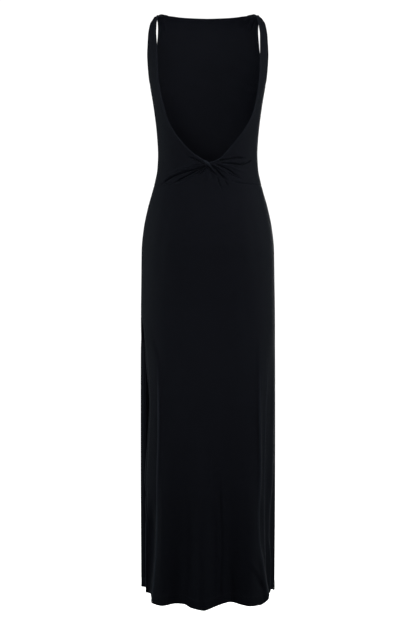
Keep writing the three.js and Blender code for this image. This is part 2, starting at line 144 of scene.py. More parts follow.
# How much nearer the middle the right strap's edge towards the neck lies at each of those places
RIGHT_STRAP_IN = (0, 0, 0, 0.4, 1, 1.8, 1.4, -1)

# The open back's edge: drop, distance from the middle on the left and on the right
OPEN_BACK = (
    (46, 127.7, 128.7), (64, 127.2, 128.9), (82, 125.4, 129), (102, 124.4, 128.6), (144, 122.4, 128),
    (180, 119.8, 125), (220, 111, 119), (265, 98.8, 105.4), (300, 81.5, 85), (330, 59, 62.4),
    (355, 33.6, 42), (365, 20, 32), (371, 10.5, 22), (376, 3, 10), (378, 0, 0),
)

# The back half's arm edge below the strap: drop, x, y
BACK_ARMHOLE = (
    (66, 148.8, 25), (100, 149.6, 25), (130, 148.4, 22), (160, 145.6, 15), (180, 142.6, 7), (190, 141.4, 0),
)

# Rows of a back half below its strap: the drop at the open edge and, on the outside, the drop down the
# side, or the turn in degrees along the waist seam
SIDE_ROWS = (
    (82, 96), (112, 128), (142, 160), (158, 178), (172, 190), (204, 230), (238, 272), (268, 312),
    (292, 350), (310, 382), (324, 408), (335, 430),
)
SEAM_ROWS = (
    (344, 11), (350, 22), (355, 33), (359, 43), (362.5, 52), (365.5, 60), (368, 67), (370.5, 73),
    (373, 79), (375.5, 84.5), (378, 90),
)

# The waist seam rises to the twist: turn in degrees from the side, drop
WAIST_SEAM = ((0, 430), (50, 429), (63, 425), (72, 417), (80, 405), (85, 398), (90, 396))

# Under the twist the left half reaches this many degrees past the middle of the back
LEAN = 7

# Folds round the twist: height out of the cloth (a trough is below zero), width near the twist and at the
# far end, the shares of its length over which it rises and fades, and its course as x and drop
TWIST_FOLDS = (
    (-5.6, 1.1, 1.7, 0.03, 0.5, ((9.8, 381.4), (26.5, 371.8), (46, 365), (52, 364.4))),
    (-6.6, 1.2, 1.6, 0.02, 0.2,
     ((4, 386), (13, 388.8), (34, 395), (57, 401), (76, 407.4), (94, 415.9), (117, 433))),
    (-6.0, 1.2, 1.6, 0.03, 0.2, ((4, 388), (13, 391.6), (32, 400.4), (51.5, 410.6), (84, 429))),
    (-3.8, 1.0, 1.2, 0.1, 0.4, ((7.5, 391.2), (11.5, 394.4), (18.8, 400.5), (26, 406.8))),
    (-4.2, 1.0, 1.2, 0.1, 0.4, ((1.7, 390.3), (6.6, 395.2), (11.5, 400.1), (18.8, 405.9), (27, 412.2))),
    (-6.4, 1.4, 2.0, 0.06, 0.45, ((-26, 372.6), (-40, 371.2), (-50, 369.8), (-62, 366.2), (-97, 366))),
    (-6.4, 1.2, 1.6, 1.0, 0.18, ((-20, 376.5), (-50, 380.2), (-79, 381.4), (-90, 379), (-109, 368))),
    (-4.0, 1.2, 2.2, 0.15, 0.25, ((-20, 382), (-45.7, 393.6), (-78, 414.3))),
    (-2.4, 1.2, 1.4, 0.3, 0.4, ((-42, 397.6), (-52, 404.7), (-59.4, 408.8), (-67, 412), (-86, 419.2))),
    (-4.8, 1.1, 2.6, 0.1, 0.3,
     ((-6.8, 383.2), (-12.9, 388.6), (-20.3, 395.2), (-30, 405.4), (-39.8, 414.9), (-51, 423.5))),
    (-4.4, 1.1, 1.4, 0.05, 0.3, ((2, 387.6), (-4.4, 391.6), (-9.3, 397.1), (-14.2, 402.3), (-20.6, 407.2))),
    (-1.6, 1.6, 1.8, 0.3, 0.5, ((-9.3, 402), (-11, 418))),
    (-2.6, 1.4, 2.0, 0.2, 0.5, ((-22.5, 413), (-30, 434), (-39.3, 454))),
    (-2.6, 1.3, 1.7, 0.2, 0.5, ((-42, 421), (-50, 437))),
    (-1.4, 2.5, 3.5, 0.3, 0.5, ((20, 403), (34, 411.5), (54, 421))),
    (1.3, 1.6, 2.2, 0.3, 0.4, ((34, 390.4), (57, 395.8), (76, 402.8), (94, 411), (117, 427))),
    (2.4, 2.2, 5.5, 0.2, 0.6, ((8, 379), (34, 385), (60, 391), (95, 405), (116, 419))),
    (1.6, 1.4, 3.4, 0.3, 0.4, ((27, 395.8), (34, 398), (56, 406), (86, 422))),
    (-2.0, 3.5, 7.0, 0.2, 0.5, ((10, 390), (34, 398), (56, 406), (90, 421))),
    (1.4, 1.4, 3.0, 0.3, 0.5, ((20, 398.2), (26, 402), (48, 414))),
    (2.8, 1.6, 3.2, 0.1, 0.5, ((-12, 382.5), (-34, 395.5), (-62, 417))),
    (1.8, 2.0, 4.0, 0.2, 0.5, ((-20, 378.3), (-46, 384.5), (-78, 396), (-104, 404))),
    (2.0, 2.0, 3.4, 0.2, 0.4, ((-24, 377), (-52, 376), (-86, 374), (-104, 362))),
    (1.2, 3.0, 7.0, 0.3, 0.7, ((-2, 398), (2, 420), (6, 450))),
)

# How deep troughs may go together, to how many widths from its course a fold reaches, and the share of its
# rise that lies behind its start
FOLD_DEEPEST = 7.5
FOLD_REACH = 3
FOLD_START = 0.15

# Where the twist's folds show: on the halves from a drop, over a length; across the waist seam to a distance
# from the middle, over a width; and on the skirt to a level below its seam, over a length
TWIST_FOLDS_DROP, TWIST_FOLDS_OVER = 345, 20
TWIST_FOLDS_HALF, TWIST_FOLDS_SIDE = 48, 24
TWIST_FADE_FROM, TWIST_FADE_OVER = 30, 50

# The least width of a fold that the skirt's grid can show
SKIRT_LEAST_WIDTH = 1.6

# Troughs and ridges of the back skirt, in the same way
SKIRT_FOLDS = (
    (-1.8, 5, 7, 0.4, 0.2, ((40, 1200), (40, 1232), (41, 1395), (43, 1440))),
    (-1.2, 5, 6, 0.4, 0.4, ((-12, 1040), (-9, 1130), (-5.6, 1213), (-7.3, 1330))),
    (-3.4, 4, 5, 0.3, 0.1, ((-27, 1130), (-28, 1169), (-33, 1298), (-30, 1412), (-29, 1450))),
    (-2.0, 4, 5, 0.5, 0.1, ((-56, 1350), (-57, 1378), (-59, 1450))),
    (-1.0, 14, 18, 0.5, 0.5, ((88, 760), (84, 900), (86, 1050))),
    (1.0, 16, 18, 0.5, 0.5, ((-60, 600), (-70, 760), (-66, 960))),
    (1.4, 4, 5, 0.3, 0.3, ((-101, 1346), (-121, 1380), (-131, 1397), (-139, 1423))),
    (-1.6, 5, 6, 0.3, 0.2, ((-108, 1366), (-120, 1392), (-130, 1420))),
    (-1.0, 9, 14, 0.5, 0.5, ((-96, 470), (-112, 560), (-120, 700))),
    (-1.0, 9, 14, 0.5, 0.5, ((92, 470), (110, 560), (118, 720))),
)

# The skirt's own folds show from a distance behind the side seams, over another
SKIRT_FOLDS_FROM, SKIRT_FOLDS_OVER = 20, 40

# Height and width of the crisp folds along the ridges at the sides, the drop from which they grow and over
# what length, how far in front of their ridge they still show, and how much painted highlight they get for
# each millimetre of their height
LEFT_CREASE = (2.4, 1.9)
RIGHT_CREASES = ((1.5, 2.0), (0.9, 1.8), (1.1, 2.0))
CREASE_DROP, CREASE_OVER = 850, 120
CREASE_BEFORE = 14
CREASE_HIGHLIGHT = 0.4

# Below the top of the slit: over what length its turned edges start, the front panel's edge flares and the
# back skirt takes its drawn sections, and over what share of a row the skirt keeps to its own edge
SLIT_START = 4
FLARE_OVER = 110
SECTION_OVER = 130
SLIT_EDGE_SHARE = 0.2

# The slit edge of the back skirt: drop, x, y
SLIT_EDGE = (
    (755, 165.6, 0.4), (775, 160.6, 12), (800, 156, 26), (865, 152, 45), (908, 148.3, 51),
    (930, 145.4, 54), (972, 143.4, 56), (1073, 148.8, 53), (1140, 154.6, 48), (1160, 155.7, 47),
    (1180, 153.4, 49), (1197, 152, 50), (1222, 154, 52), (1249, 152.8, 56), (1264, 154, 60),
    (1380, 153.6, 60), (1441, 152.6, 58),
)
# Just behind that edge the cloth swells, then sinks to a valley and turns over a ridge: drop, x, y of each
SLIT_SWELL = (
    (755, 164.5, 22), (865, 148, 66), (972, 141, 82), (1073, 144, 80), (1190, 147, 75),
    (1285, 148.5, 60), (1441, 149, 55),
)
SLIT_VALLEY = (
    (755, 158, 56), (865, 139, 86), (972, 133, 97), (1073, 133, 98), (1190, 134.5, 96),
    (1285, 131.5, 72), (1441, 140.5, 68),
)
LEFT_RIDGE = (
    (755, 135, 88), (847, 123, 101), (950, 120.2, 106), (1057, 119.7, 108), (1135, 121.8, 109),
    (1202, 122, 110), (1263, 122.4, 111), (1323, 124.4, 113), (1381, 128.4, 116), (1418, 132.2, 118),
    (1447, 134.4, 119),
)

# The right side, from the ridge behind round to the seam: two softer ridges with valleys between them
RIGHT_RIDGE = (
    (755, 137, 88), (887, 125.4, 101), (1009, 125.9, 106), (1123, 127.3, 108), (1180, 125.6, 110),
    (1234, 122.3, 113), (1299, 124, 116), (1348, 132, 116), (1414, 142.5, 112), (1450, 147.5, 108),
)
RIGHT_HOLLOW = (
    (755, 146, 76), (1009, 133, 92), (1180, 131, 97), (1234, 129.5, 99), (1348, 136, 96),
    (1414, 144, 95), (1450, 149.5, 92),
)
RIGHT_SOFT_RIDGE = (
    (755, 153, 62), (1009, 140, 78), (1180, 136.5, 84), (1250, 136, 86), (1380, 140.5, 84),
    (1450, 151.5, 78),
)
RIGHT_VALLEY = (
    (755, 159, 44), (1009, 152, 52), (1180, 143, 62), (1250, 140, 64), (1380, 142, 60), (1450, 149, 58),
)
RIGHT_INNER_RIDGE = (
    (755, 163, 28), (1009, 161, 34), (1165, 157, 40), (1240, 150, 44), (1298, 148.5, 44),
    (1365, 155, 38), (1450, 153, 40),
)
RIGHT_PINCH = (
    (755, 165.6, 14), (1009, 164.4, 17), (1165, 160, 20), (1240, 155, 22), (1298, 153, 23),
    (1450, 152, 24),
)

# The back hem: x, drop
BACK_HEM = (
    (-167, 1441), (-158, 1437), (-150, 1441), (-143, 1449), (-127, 1456), (-103, 1456), (-83, 1452.5),
    (-54, 1446.5), (-40, 1448.5), (-10, 1458.5), (8, 1462.5), (18, 1461.5), (40, 1459), (57, 1451),
    (77, 1450), (114, 1456), (130, 1454), (136, 1452), (138.5, 1446), (140, 1439), (145, 1438),
    (155, 1436.8), (167, 1436.8),
)

# Beside the slit the front panel flares out to its edge: distance from the edge, how far it lies inwards and
# how far back of the plain form
SLIT_FLARE = ((0, 0, 0), (8, 6.5, 12), (16, 12.5, 23), (26, 16, 25), (45, 10, 12), (80, 0, 0))

# Flutes near the hem, behind and in front: x, half the width, how far each swells out. They start at a drop,
# and the front's hem sags under each by a share of its swell.
BACK_FLUTES = ((13, 36, 21), (110, 30, 5), (-103, 34, 8), (-55, 26, -8), (68, 26, -6))
FRONT_FLUTES = ((-62, 44, 12), (58, 40, 10), (-2, 30, -4))
FLUTE_TOP_DROP = 1000
FLUTE_SAG = 0.35

# The front panel's lower corner at the slit is lifted from one distance from the middle, over a width, and
# pushed forwards round another. Both grow from a drop, over a length.
CORNER_LIFT, CORNER_LIFT_FROM, CORNER_LIFT_OVER = 8, 126, 28
CORNER_PUSH, CORNER_PUSH_AT, CORNER_PUSH_HALF = 9, 166, 26
CORNER_DROP, CORNER_OVER = 1180, 260

# From these drops the rows bend to the line of the hem, in front over a length and behind down to the hem
FRONT_HEM_FROM, FRONT_HEM_OVER = 1250, 190
BACK_HEM_FROM = 1180

# Folds of the front panel, in the same way as the twist's
FRONT_FOLDS = (
    (-3.0, 3, 4, 0.3, 0.5, ((-103, 3), (-97, 8), (-90, 15))),
    (-3.6, 3, 5, 0.2, 0.5, ((-113, 8), (-110, 18), (-106, 30), (-102, 50))),
    (3.0, 3, 4, 0.2, 0.5, ((-121, 6), (-114, 18), (-110, 27), (-104.5, 49))),
    (-2.4, 3, 5, 0.2, 0.5, ((112, 8), (108, 22), (105, 42))),
    (1.2, 4, 6, 0.4, 0.6, ((-138, 190), (-112, 172), (-78, 160))),
    (-1.2, 4, 6, 0.4, 0.6, ((-139, 200), (-110, 186), (-80, 178))),
    (1.2, 4, 6, 0.4, 0.6, ((138, 190), (114, 174), (84, 164))),
    (-1.2, 4, 6, 0.4, 0.6, ((139, 200), (112, 188), (86, 182))),
    (-1.3, 6, 9, 0.4, 0.6, ((-118, 372), (-76, 392), (-34, 398))),
    (1.3, 6, 9, 0.4, 0.6, ((-118, 386), (-78, 408), (-30, 416))),
    (-1.3, 6, 9, 0.4, 0.6, ((116, 366), (80, 384), (42, 390))),
    (1.2, 6, 9, 0.4, 0.6, ((120, 382), (82, 402), (38, 410))),
    (-1.6, 8, 10, 0.5, 0.1, ((28, 1060), (24, 1240), (26, 1450))),
    (-1.8, 7, 9, 0.5, 0.1, ((-20, 1120), (-24, 1280), (-22, 1450))),
    (-1.4, 7, 8, 0.5, 0.1, ((-104, 1000), (-108, 1200), (-110, 1450))),
    (-1.4, 7, 8, 0.5, 0.1, ((100, 1080), (104, 1260), (106, 1450))),
    (1.4, 9, 10, 0.5, 0.3, ((-134, 820), (-136, 1100), (-138, 1440))),
    (1.4, 9, 10, 0.5, 0.3, ((134, 860), (136, 1100), (138, 1440))),
)

# The twist's roll down from the left half's edge over the right half: x, drop, lift above the cloth,
# width across, thickness and how much painted highlight it has
TWIST = (
    (33, 356.2, 0.1, 0.8, 0.7, 0.6), (24, 362, 0.5, 1.0, 0.9, 0.6), (15, 368.2, 1.1, 1.4, 1.2, 0.6),
    (9, 372.6, 2.2, 2.4, 2.2, 0.6), (4, 376.4, 3.8, 6.0, 4.4, 0.95), (-0.5, 379.8, 4.4, 6.2, 4.6, 0.85),
    (-5, 384.2, 3.8, 3.8, 3.4, 0.5), (-10, 389.8, 3.0, 2.7, 2.6, 0.3), (-16, 396.8, 2.2, 2.2, 2.1, 0.2),
    (-21.5, 403.4, 1.2, 1.6, 1.5, 0.1), (-26, 409, 0.2, 1.0, 0.8, 0),
)

# The rings of the roll, the points of each, and the metres of knit round it
ROLL_RINGS = 90
ROLL_SIDES = 40
ROLL_GIRTH = 0.018

# The grooves that wind round it: depth, half the angle at which each starts, and width. They turn by two
# radians in the length of the pitch.
GROOVES = ((0.13, 0, 0.16), (0.1, 1.2, 0.14))
GROOVE_PITCH = 13

# The open back's edge, away from the twist and where it rolls at it: the width of its turn, how far that
# stands up, how much painted highlight it has and over what width
OPEN_EDGE = (EDGE_TURN, 0.5, 0.45, 2.2)
ROLLED_EDGE = (3.6, 0.9, 1.0, 1.6)
ROLLED_LENGTH = 70

# How much painted highlight a back half's arm edge has, and over what width
ARM_HIGHLIGHT, ARM_HIGHLIGHT_WIDTH = 0.4, 2.2

# Rows of the front panel and of the back skirt: from, to and how many, both ends counted
FRONT_ROWS = ((0, 8, 9), (8, 60, 22), (60, 430, 88), (430, 1400, 178), (1400, SIDE_HEM_DROP, 20))
SKIRT_ROWS = (
    (0, 30, 27), (30, 60, 14), (60, 330, 42), (330, 960, 86), (960, SIDE_HEM_DROP - WAIST_SEAM_DROP, 20),
)

# Columns of the front panel: how many cells, and the shares of the cells and of the width in each end
FRONT_COLUMNS = (152, 0.07, 0.022)

# Columns of the back skirt, at the waist seam and below the slit's top: the cells before each knot, and the
# share of the width there. The first give way to the others from a level below the seam, over a length.
WAIST_COLUMNS = ((0, 12, 66, 189, 243, 255), (0, 0.02, 0.3, 0.7, 0.98, 1))
SLIT_COLUMNS = ((0, 12, 82, 165, 245, 255), (0, 0.015, 0.2, 0.71, 0.983, 1))
COLUMNS_FROM, COLUMNS_OVER = 60, 220

# Over what length the rows even out below the neckline and below the waist seam, and how much of a seam's
# relief the waist seam has
NECK_OVER = 60
WAIST_SEAM_OVER = 95
WAIST_SEAM_SHARE = 0.8

# The points of a drawn section between its left and right ridges: the shares of the width from and to which
# they go, and how many
BACK_SPAN = (0.04, 0.96, 60)

# In how many steps a ring and a drawn section are measured
RING_STEPS = 900
SECTION_STEPS = 1600

# A back half's rows: how closely they stand above the twist and at it, and what is added to each step
ROWS_ABOVE, ROWS_AT_TWIST, LEAST_STEP = 0.55, 3.2, 0.8

# Where a turned arm edge ends at the underarm: on a back half the row of its tables and over how many rows,
# and on the front panel over what length
ARM_END_ROW, ARM_END_OVER = 10.6, 0.8
ARM_BLEND = 8


def ease(t):
    """0 below 0, 1 above 1, and a smooth step between."""
    s = np.clip(t, 0, 1)
    return s * s * (3 - 2 * s)


def bump(t):
    """1 at 0, falling on a cosine to 0 at -1 and 1."""
    return np.where(np.abs(t) < 1, (1 + np.cos(np.pi * np.clip(t, -1, 1))) / 2, 0)


def bell(t):
    """1 at 0, falling away on both sides as exp(-t squared)."""
    return np.exp(-(t**2))


def mix(a, b, t):
    """a where t is 0, b where it is 1, and in proportion between."""
    return a + (b - a) * t


def cubic(t, span, start, end, slope, end_slope):
    """The cubic over a span, at the share t of it, with the given ends and slopes there."""
    return (
        (2 * t**3 - 3 * t**2 + 1) * start + (t**3 - 2 * t**2 + t) * span * slope
        + (3 * t**2 - 2 * t**3) * end + (t**3 - t**2) * span * end_slope
    )


def spaced(spans):
    """Numbers over spans that share their ends, each span given by its start, end and how many it holds."""
    return np.concatenate([np.linspace(*span)[:-1] for span in spans] + [[spans[-1][1]]])


def read(table, column, at):
    """Reads a column of a table at any values of its first column: a cubic between rows, whose slope at a
    row is the harmonic mean of the slopes beside it, so that it never overshoots."""
    rows = np.asarray(table, float)
    xs, ys = rows[:, 0], rows[:, column]
    slope = np.diff(ys) / np.diff(xs)
    before, after = slope[:-1], slope[1:]
    same = before * after > 0
    inner = np.where(same, 2 * before * after / np.where(same, before + after, 1), 0)
    tangent = np.concatenate([slope[:1], inner, slope[-1:]])
    at = np.clip(at, xs[0], xs[-1])
    i = np.clip(np.searchsorted(xs, at, side="right") - 1, 0, len(xs) - 2)
    span = xs[i + 1] - xs[i]
    return cubic((at - xs[i]) / span, span, ys[i], ys[i + 1], tangent[i], tangent[i + 1])


def ring(drop, turn):
    """A point of the plain form: x is half the width times a power of the turn's cosine, y the depth times
    the same power of its sine, and the power is 2 over how square the ring is."""
    power = 2 / read(LEVELS, SQUARE, drop)
    across, away = np.cos(turn), np.sin(turn)
    depth = np.where(away < 0, read(LEVELS, FRONT, drop), read(LEVELS, BACK, drop))
    x = read(LEVELS, HALF, drop) * np.sign(across) * np.abs(across) ** power
    y = depth * np.sign(away) * np.abs(away) ** power
    return np.stack(np.broadcast_arrays(x, y, WALL - drop), -1)


def widened(points):
    """Points moved outwards by the table's amount at the sides, and in proportion nearer the middle."""
    drop = WALL - points[..., 2]
    side = np.where(points[..., 0] > 0, read(WIDEN, 1, drop), read(WIDEN, 2, drop))
    wider = points.copy()
    wider[..., 0] *= 1 + side / read(LEVELS, HALF, drop)
    return wider


def turn_at(drop, x):
    """The turn, behind the side seams, at which the ring is x from the middle."""
    share = np.clip(np.abs(x) / read(LEVELS, HALF, drop), 0, 1)
    turn = np.arccos(share ** (read(LEVELS, SQUARE, drop) / 2))
    return np.where(x < 0, math.pi - turn, turn)


def ring_place(x, y, drop):
    """The drop, reach and turn of a point: reach 1 is on the plain form, and less is inside it."""
    square = read(LEVELS, SQUARE, drop)
    half = read(LEVELS, HALF, drop)
    depth = np.where(y < 0, read(LEVELS, FRONT, drop), read(LEVELS, BACK, drop))
    reach = ((x / half) ** square + (np.abs(y) / depth) ** square) ** (1 / square)
    turn = np.sign(y) * np.arccos(np.minimum((x / (half * reach)) ** (square / 2), 1))
    return np.stack([drop, reach, turn], -1)


def run_along(line):
    """Running length along a line of points."""
    return np.concatenate([[0], np.cumsum(np.linalg.norm(np.diff(line, axis=0), axis=1))])


def lengths_along(points, axis):
    """Running length along the lines of a grid of points, from its first row (axis 0) or column (axis 1)."""
    steps = np.linalg.norm(np.diff(points, axis=axis), axis=-1)
    return np.concatenate([np.zeros_like(np.take(steps, [0], axis)), np.cumsum(steps, axis)], axis)


def even_turns(drops, start, end, shares):
    """For each drop, the turns at the given shares of the ring's length between two turns."""
    dense = np.linspace(0, 1, RING_STEPS)[None, :]
    turns = mix(start[:, None], end[:, None], dense)
    reach = lengths_along(ring(drops[:, None], turns), 1)
    shares = np.broadcast_to(shares, (len(drops), np.shape(shares)[-1]))
    return np.array([np.interp(s * r[-1], r, t) for s, r, t in zip(shares, reach, turns)])


def shares_between(knots, lengths):
    """Shares of the length of a row at its grid points: even between knots, which are numbers of cells."""
    return np.interp(np.arange(knots[-1] + 1), knots, lengths)


def crowd_ends(cells, crowd, share):
    """Shares from 0 to 1 for a number of cells, with a stretch at each end that has more of them: crowd is
    the share of the cells in each end and share the share of the length."""
    knots = [0, crowd, 1 - crowd, 1]
    return np.interp(np.linspace(0, 1, cells + 1), knots, [0, share, 1 - share, 1])


def smooth_course(course, steps=14):
    """A course's points, rounded: a cubic through them by length."""
    points = np.asarray(course, float)
    if len(points) < 3:
        return points
    length = run_along(points)
    at = np.linspace(0, length[-1], steps)
    slopes = np.gradient(points, length, axis=0)
    i = np.clip(np.searchsorted(length, at, side="right") - 1, 0, len(length) - 2)
    span = (length[i + 1] - length[i])[:, None]
    t = (at[:, None] - length[i][:, None]) / span
    return cubic(t, span, points[i], points[i + 1], slopes[i], slopes[i + 1])


def fold_heights(x, drop, folds, least=0):
    """Sum over folds of height times a bell of the distance to the fold's course over its width. The width
    grows from one end to the other but is never less than the least that the grid can show, and the height
    rises and fades at the ends. Troughs that meet go no deeper than FOLD_DEEPEST."""
    total = np.zeros(x.shape)
    for height, near, far, rise, fade, course in folds:
        points = smooth_course(course)
        low, high = points.min(0) - FOLD_REACH * far, points.max(0) + FOLD_REACH * far
        inside = (x > low[0]) & (x < high[0]) & (drop > low[1]) & (drop < high[1])
        px, pd = x[inside], drop[inside]
        gap, along, done = np.full(px.shape, np.inf), np.zeros(px.shape), 0
        for (x0, d0), (x1, d1) in zip(points[:-1], points[1:]):
            length = math.hypot(x1 - x0, d1 - d0)
            t = np.clip(((px - x0) * (x1 - x0) + (pd - d0) * (d1 - d0)) / length**2, 0, 1)
            here = np.hypot(px - mix(x0, x1, t), pd - mix(d0, d1, t))
            along = np.where(here < gap, done + t * length, along)
            gap = np.minimum(gap, here)
            done += length
        along /= done
        strength = ease(along / rise + FOLD_START) * (1 - ease((along - 1 + fade) / fade))
        total[inside] += height * strength * bell(gap / np.maximum(mix(near, far, along), least))
    return np.maximum(total, -FOLD_DEEPEST)


def grid_normals(points):
    """Normals of a grid of points, turned away from the upright axis through the origin."""
    normals = np.cross(np.gradient(points, axis=0), np.gradient(points, axis=1))
    normals /= np.maximum(np.linalg.norm(normals, axis=-1, keepdims=True), 1e-9)
    outward = (normals[..., :2] * points[..., :2]).sum(-1).mean()
    return normals * (1 if outward > 0 else -1)


def from_edge(points, edge):
    """Distance of each point of a grid from its top, bottom, first or last edge, along the grid's lines."""
    run = lengths_along(points, 0 if edge in ("top", "bottom") else 1)
    if edge == "bottom":
        return run[-1:] - run
    return run[:, -1:] - run if edge == "last" else run


def turned_edge(distance, width, height):
    """A turned-in edge: two layers stand up by height over the width, the very edge rounds inwards, and the
    stitch line at its inner side sinks a little."""
    stand = ease(distance / EDGE_RISE) - ease((distance - width + 1) / EDGE_FALL)
    edge = 1 - ease(distance / ROUND_WIDTH)
    return height * stand - ROUND_DEPTH * edge - LINE_DEPTH * bell((distance - width) / LINE_WIDTH)


def seam_edge(distance):
    """Beside a seam the cloth sinks to it on a bell."""
    return -SEAM_DEPTH * bell(distance / SEAM_WIDTH)


def beside_twist(points):
    """0 near the middle, where the folds of the twist cross the waist seam, and 1 at the sides."""
    return ease((np.abs(points[..., 0]) - TWIST_FOLDS_HALF) / TWIST_FOLDS_SIDE)


def new_object(name, points, faces, material, uv, edge):
    """A smooth-shaded mesh object from points in millimetres and lists of their numbers, with a UV for each
    point, in metres along the cloth, and how much painted highlight each has, kept as its edge attribute."""
    mesh = bpy.data.meshes.new(name)
    mesh.from_pydata((points.reshape(-1, 3) / 1000).tolist(), [], faces)
    mesh.polygons.foreach_set("use_smooth", np.ones(len(mesh.polygons), bool))
    corner = np.zeros(len(mesh.loops), np.int32)
    mesh.loops.foreach_get("vertex_index", corner)
    layer = mesh.uv_layers.new(name="cloth")
    layer.data.foreach_set("uv", uv.reshape(-1, 2)[corner].astype(np.float32).ravel())
    near = mesh.attributes.new("edge", "FLOAT", "POINT")
    near.data.foreach_set("value", edge.ravel().astype(np.float32))
    mesh.materials.append(material)
    mesh.update()
    piece = bpy.data.objects.new(name, mesh)
    bpy.context.scene.collection.objects.link(piece)
    return piece


def grid_faces(rows, cols, around=False):
    """Four-sided faces between neighbours of a grid, closed round its columns when around is set."""
    index = np.arange(rows * cols).reshape(rows, cols)
    if around:
        index = np.concatenate([index, index[:, :1]], 1)
    return np.stack([index[:-1, :-1], index[1:, :-1], index[1:, 1:], index[:-1, 1:]], -1).reshape(-1, 4)


def facing_out(faces, points, out):
    """The faces, turned over if the sum of their normals along the outward directions is below zero."""
    a, b, c = (points[faces[:, k]] for k in (0, 1, 2))
    against = (np.cross(b - a, c - b) * out[faces[:, 0]]).sum() < 0
    return faces[:, ::-1] if against else faces


def cloth_uv(points):
    """The UV of a grid of points: the running lengths along its rows and its columns, in metres."""
    return np.stack([lengths_along(points, 1), lengths_along(points, 0)], -1) / 1000


def give_wall(piece, thickness):
    """Gives a surface its thickness inwards."""
    wall = piece.modifiers.new("wall", "SOLIDIFY")
    wall.thickness = thickness / 1000
    wall.offset = -1
    wall.use_even_offset = False


def cloth(name, points, material, edge, thickness=CLOTH):
    """A piece of cloth: a grid of points on its outer face, given a wall inwards."""
    flat = points.reshape(-1, 3)
    faces = facing_out(grid_faces(*points.shape[:2]), flat, flat * (1, 1, 0))
    piece = new_object(name, points, faces.tolist(), material, cloth_uv(points), edge)
    give_wall(piece, thickness)
    return piece


def at_distances(points, edge, distances, keep=None):
    """Points and outward normals at some distances in from an edge of a grid, along the grid's lines. Rows of
    the result run along the edge; keep says which lines to use by the drop of their first point."""
    normals = grid_normals(points)
    run = from_edge(points, edge)
    if edge in ("first", "last"):
        points, normals, run = points.swapaxes(0, 1), normals.swapaxes(0, 1), run.T
    if edge in ("bottom", "last"):
        points, normals, run = points[::-1], normals[::-1], run[::-1]
    drop = WALL - points[0, :, 2]
    lines = np.flatnonzero(np.ones(len(drop), bool) if keep is None else (drop > keep[0]) & (drop < keep[1]))
    place, out = np.empty((len(distances), len(lines), 3)), np.empty((len(distances), len(lines), 3))
    for made, line in enumerate(lines):
        for k in range(3):
            place[:, made, k] = np.interp(distances, run[:, line], points[:, line, k])
            out[:, made, k] = np.interp(distances, run[:, line], normals[:, line, k])
    return place, out / np.linalg.norm(out, axis=-1, keepdims=True)


def turned_under(name, points, edges, material):
    """The second layer of cloth behind turned edges: for each edge a strip that lies inside the wall, from
    near the edge to the width of its turn."""
    places, faces, uvs, count = [], [], [], 0
    for edge, width, keep in edges:
        place, out = at_distances(points, edge, np.linspace(TURN_START, width, TURN_ROWS), keep)
        grid = facing_out(grid_faces(*place.shape[:2]), place.reshape(-1, 3), out.reshape(-1, 3))
        places.append((place - out * (CLOTH + TURN_GAP)).reshape(-1, 3))
        uvs.append(cloth_uv(place).reshape(-1, 2))
        faces += (grid + count).tolist()
        count += len(places[-1])
    piece = new_object(name, np.concatenate(places), faces, material, np.concatenate(uvs), np.zeros(count))
    give_wall(piece, TURN_CLOTH)
    return piece


def seam_allowance(name, side, top, bottom, material):
    """The overlocked seam allowance inside a side seam, from one drop to another: a narrow upright strip."""
    drop = np.linspace(top, bottom, ALLOWANCE_ROWS)[:, None]
    away = np.linspace(-ALLOWANCE_HALF, ALLOWANCE_HALF, 5)[None, :]
    x = side * (read(LEVELS, HALF, drop) - ALLOWANCE_IN) + 0 * away
    points = widened(np.stack([x, away + 0 * drop, WALL - drop + 0 * away], -1))
    return cloth(name, points, material, np.zeros(points.shape[:2]), TURN_CLOTH)


def stitches(name, points, rows, material):
    """Rows of straight stitches on the face of the cloth: each stitch is a six-sided spindle, half sunk, and
    they follow one another along a line at a set distance from an edge."""
    along, thick = np.array(SPINDLE).T
    along, thick = along * STITCH / 2, thick * THREAD / 2
    angle = np.linspace(0, 2 * np.pi, SPINDLE_SIDES, endpoint=False)
    made = []
    for edge, distance, keep in rows:
        place, out = (line[0] for line in at_distances(points, edge, [distance], keep))
        run = run_along(place)
        at = np.arange(STITCH, run[-1] - STITCH, STITCH + STITCH_GAP)
        centre, normal, ahead = (
            np.stack([np.interp(where, run, line[:, k]) for k in range(3)], -1)
            for where, line in ((at, place), (at, out), (at + STITCH / 6, place))
        )
        ahead -= centre
        ahead /= np.linalg.norm(ahead, axis=1, keepdims=True)
        across = np.cross(ahead, normal)
        ring_of = across[:, None, :] * np.cos(angle)[:, None] + normal[:, None, :] * np.sin(angle)[:, None]
        spindle = centre[:, None, None, :] + ahead[:, None, None, :] * along[:, None, None]
        made.append((spindle + ring_of[:, None] * thick[:, None, None]).reshape(-1, 3))
    places = np.concatenate(made)
    tube = grid_faces(len(SPINDLE), SPINDLE_SIDES, around=True)
    caps = np.array([[0, 1, 2, 3], [0, 3, 4, 5], [21, 20, 19, 18], [23, 22, 21, 18]])
    each = len(SPINDLE) * SPINDLE_SIDES
    first = np.arange(0, len(places), each)[:, None, None]
    faces = (np.concatenate([tube, caps])[None] + first).reshape(-1, 4).tolist()
    return new_object(name, places, faces, material, np.zeros((len(places), 2)), np.zeros(len(places)))


# Colours and materials
def srgb(code):
    """A colour written as sRGB hex, in linear light by the sRGB curve."""
    parts = [int(code[i : i + 2], 16) / 255 for i in (1, 3, 5)]
    return tuple(p / 12.92 if p <= 0.04045 else ((p + 0.055) / 1.055) ** 2.4 for p in parts) + (1.0,)


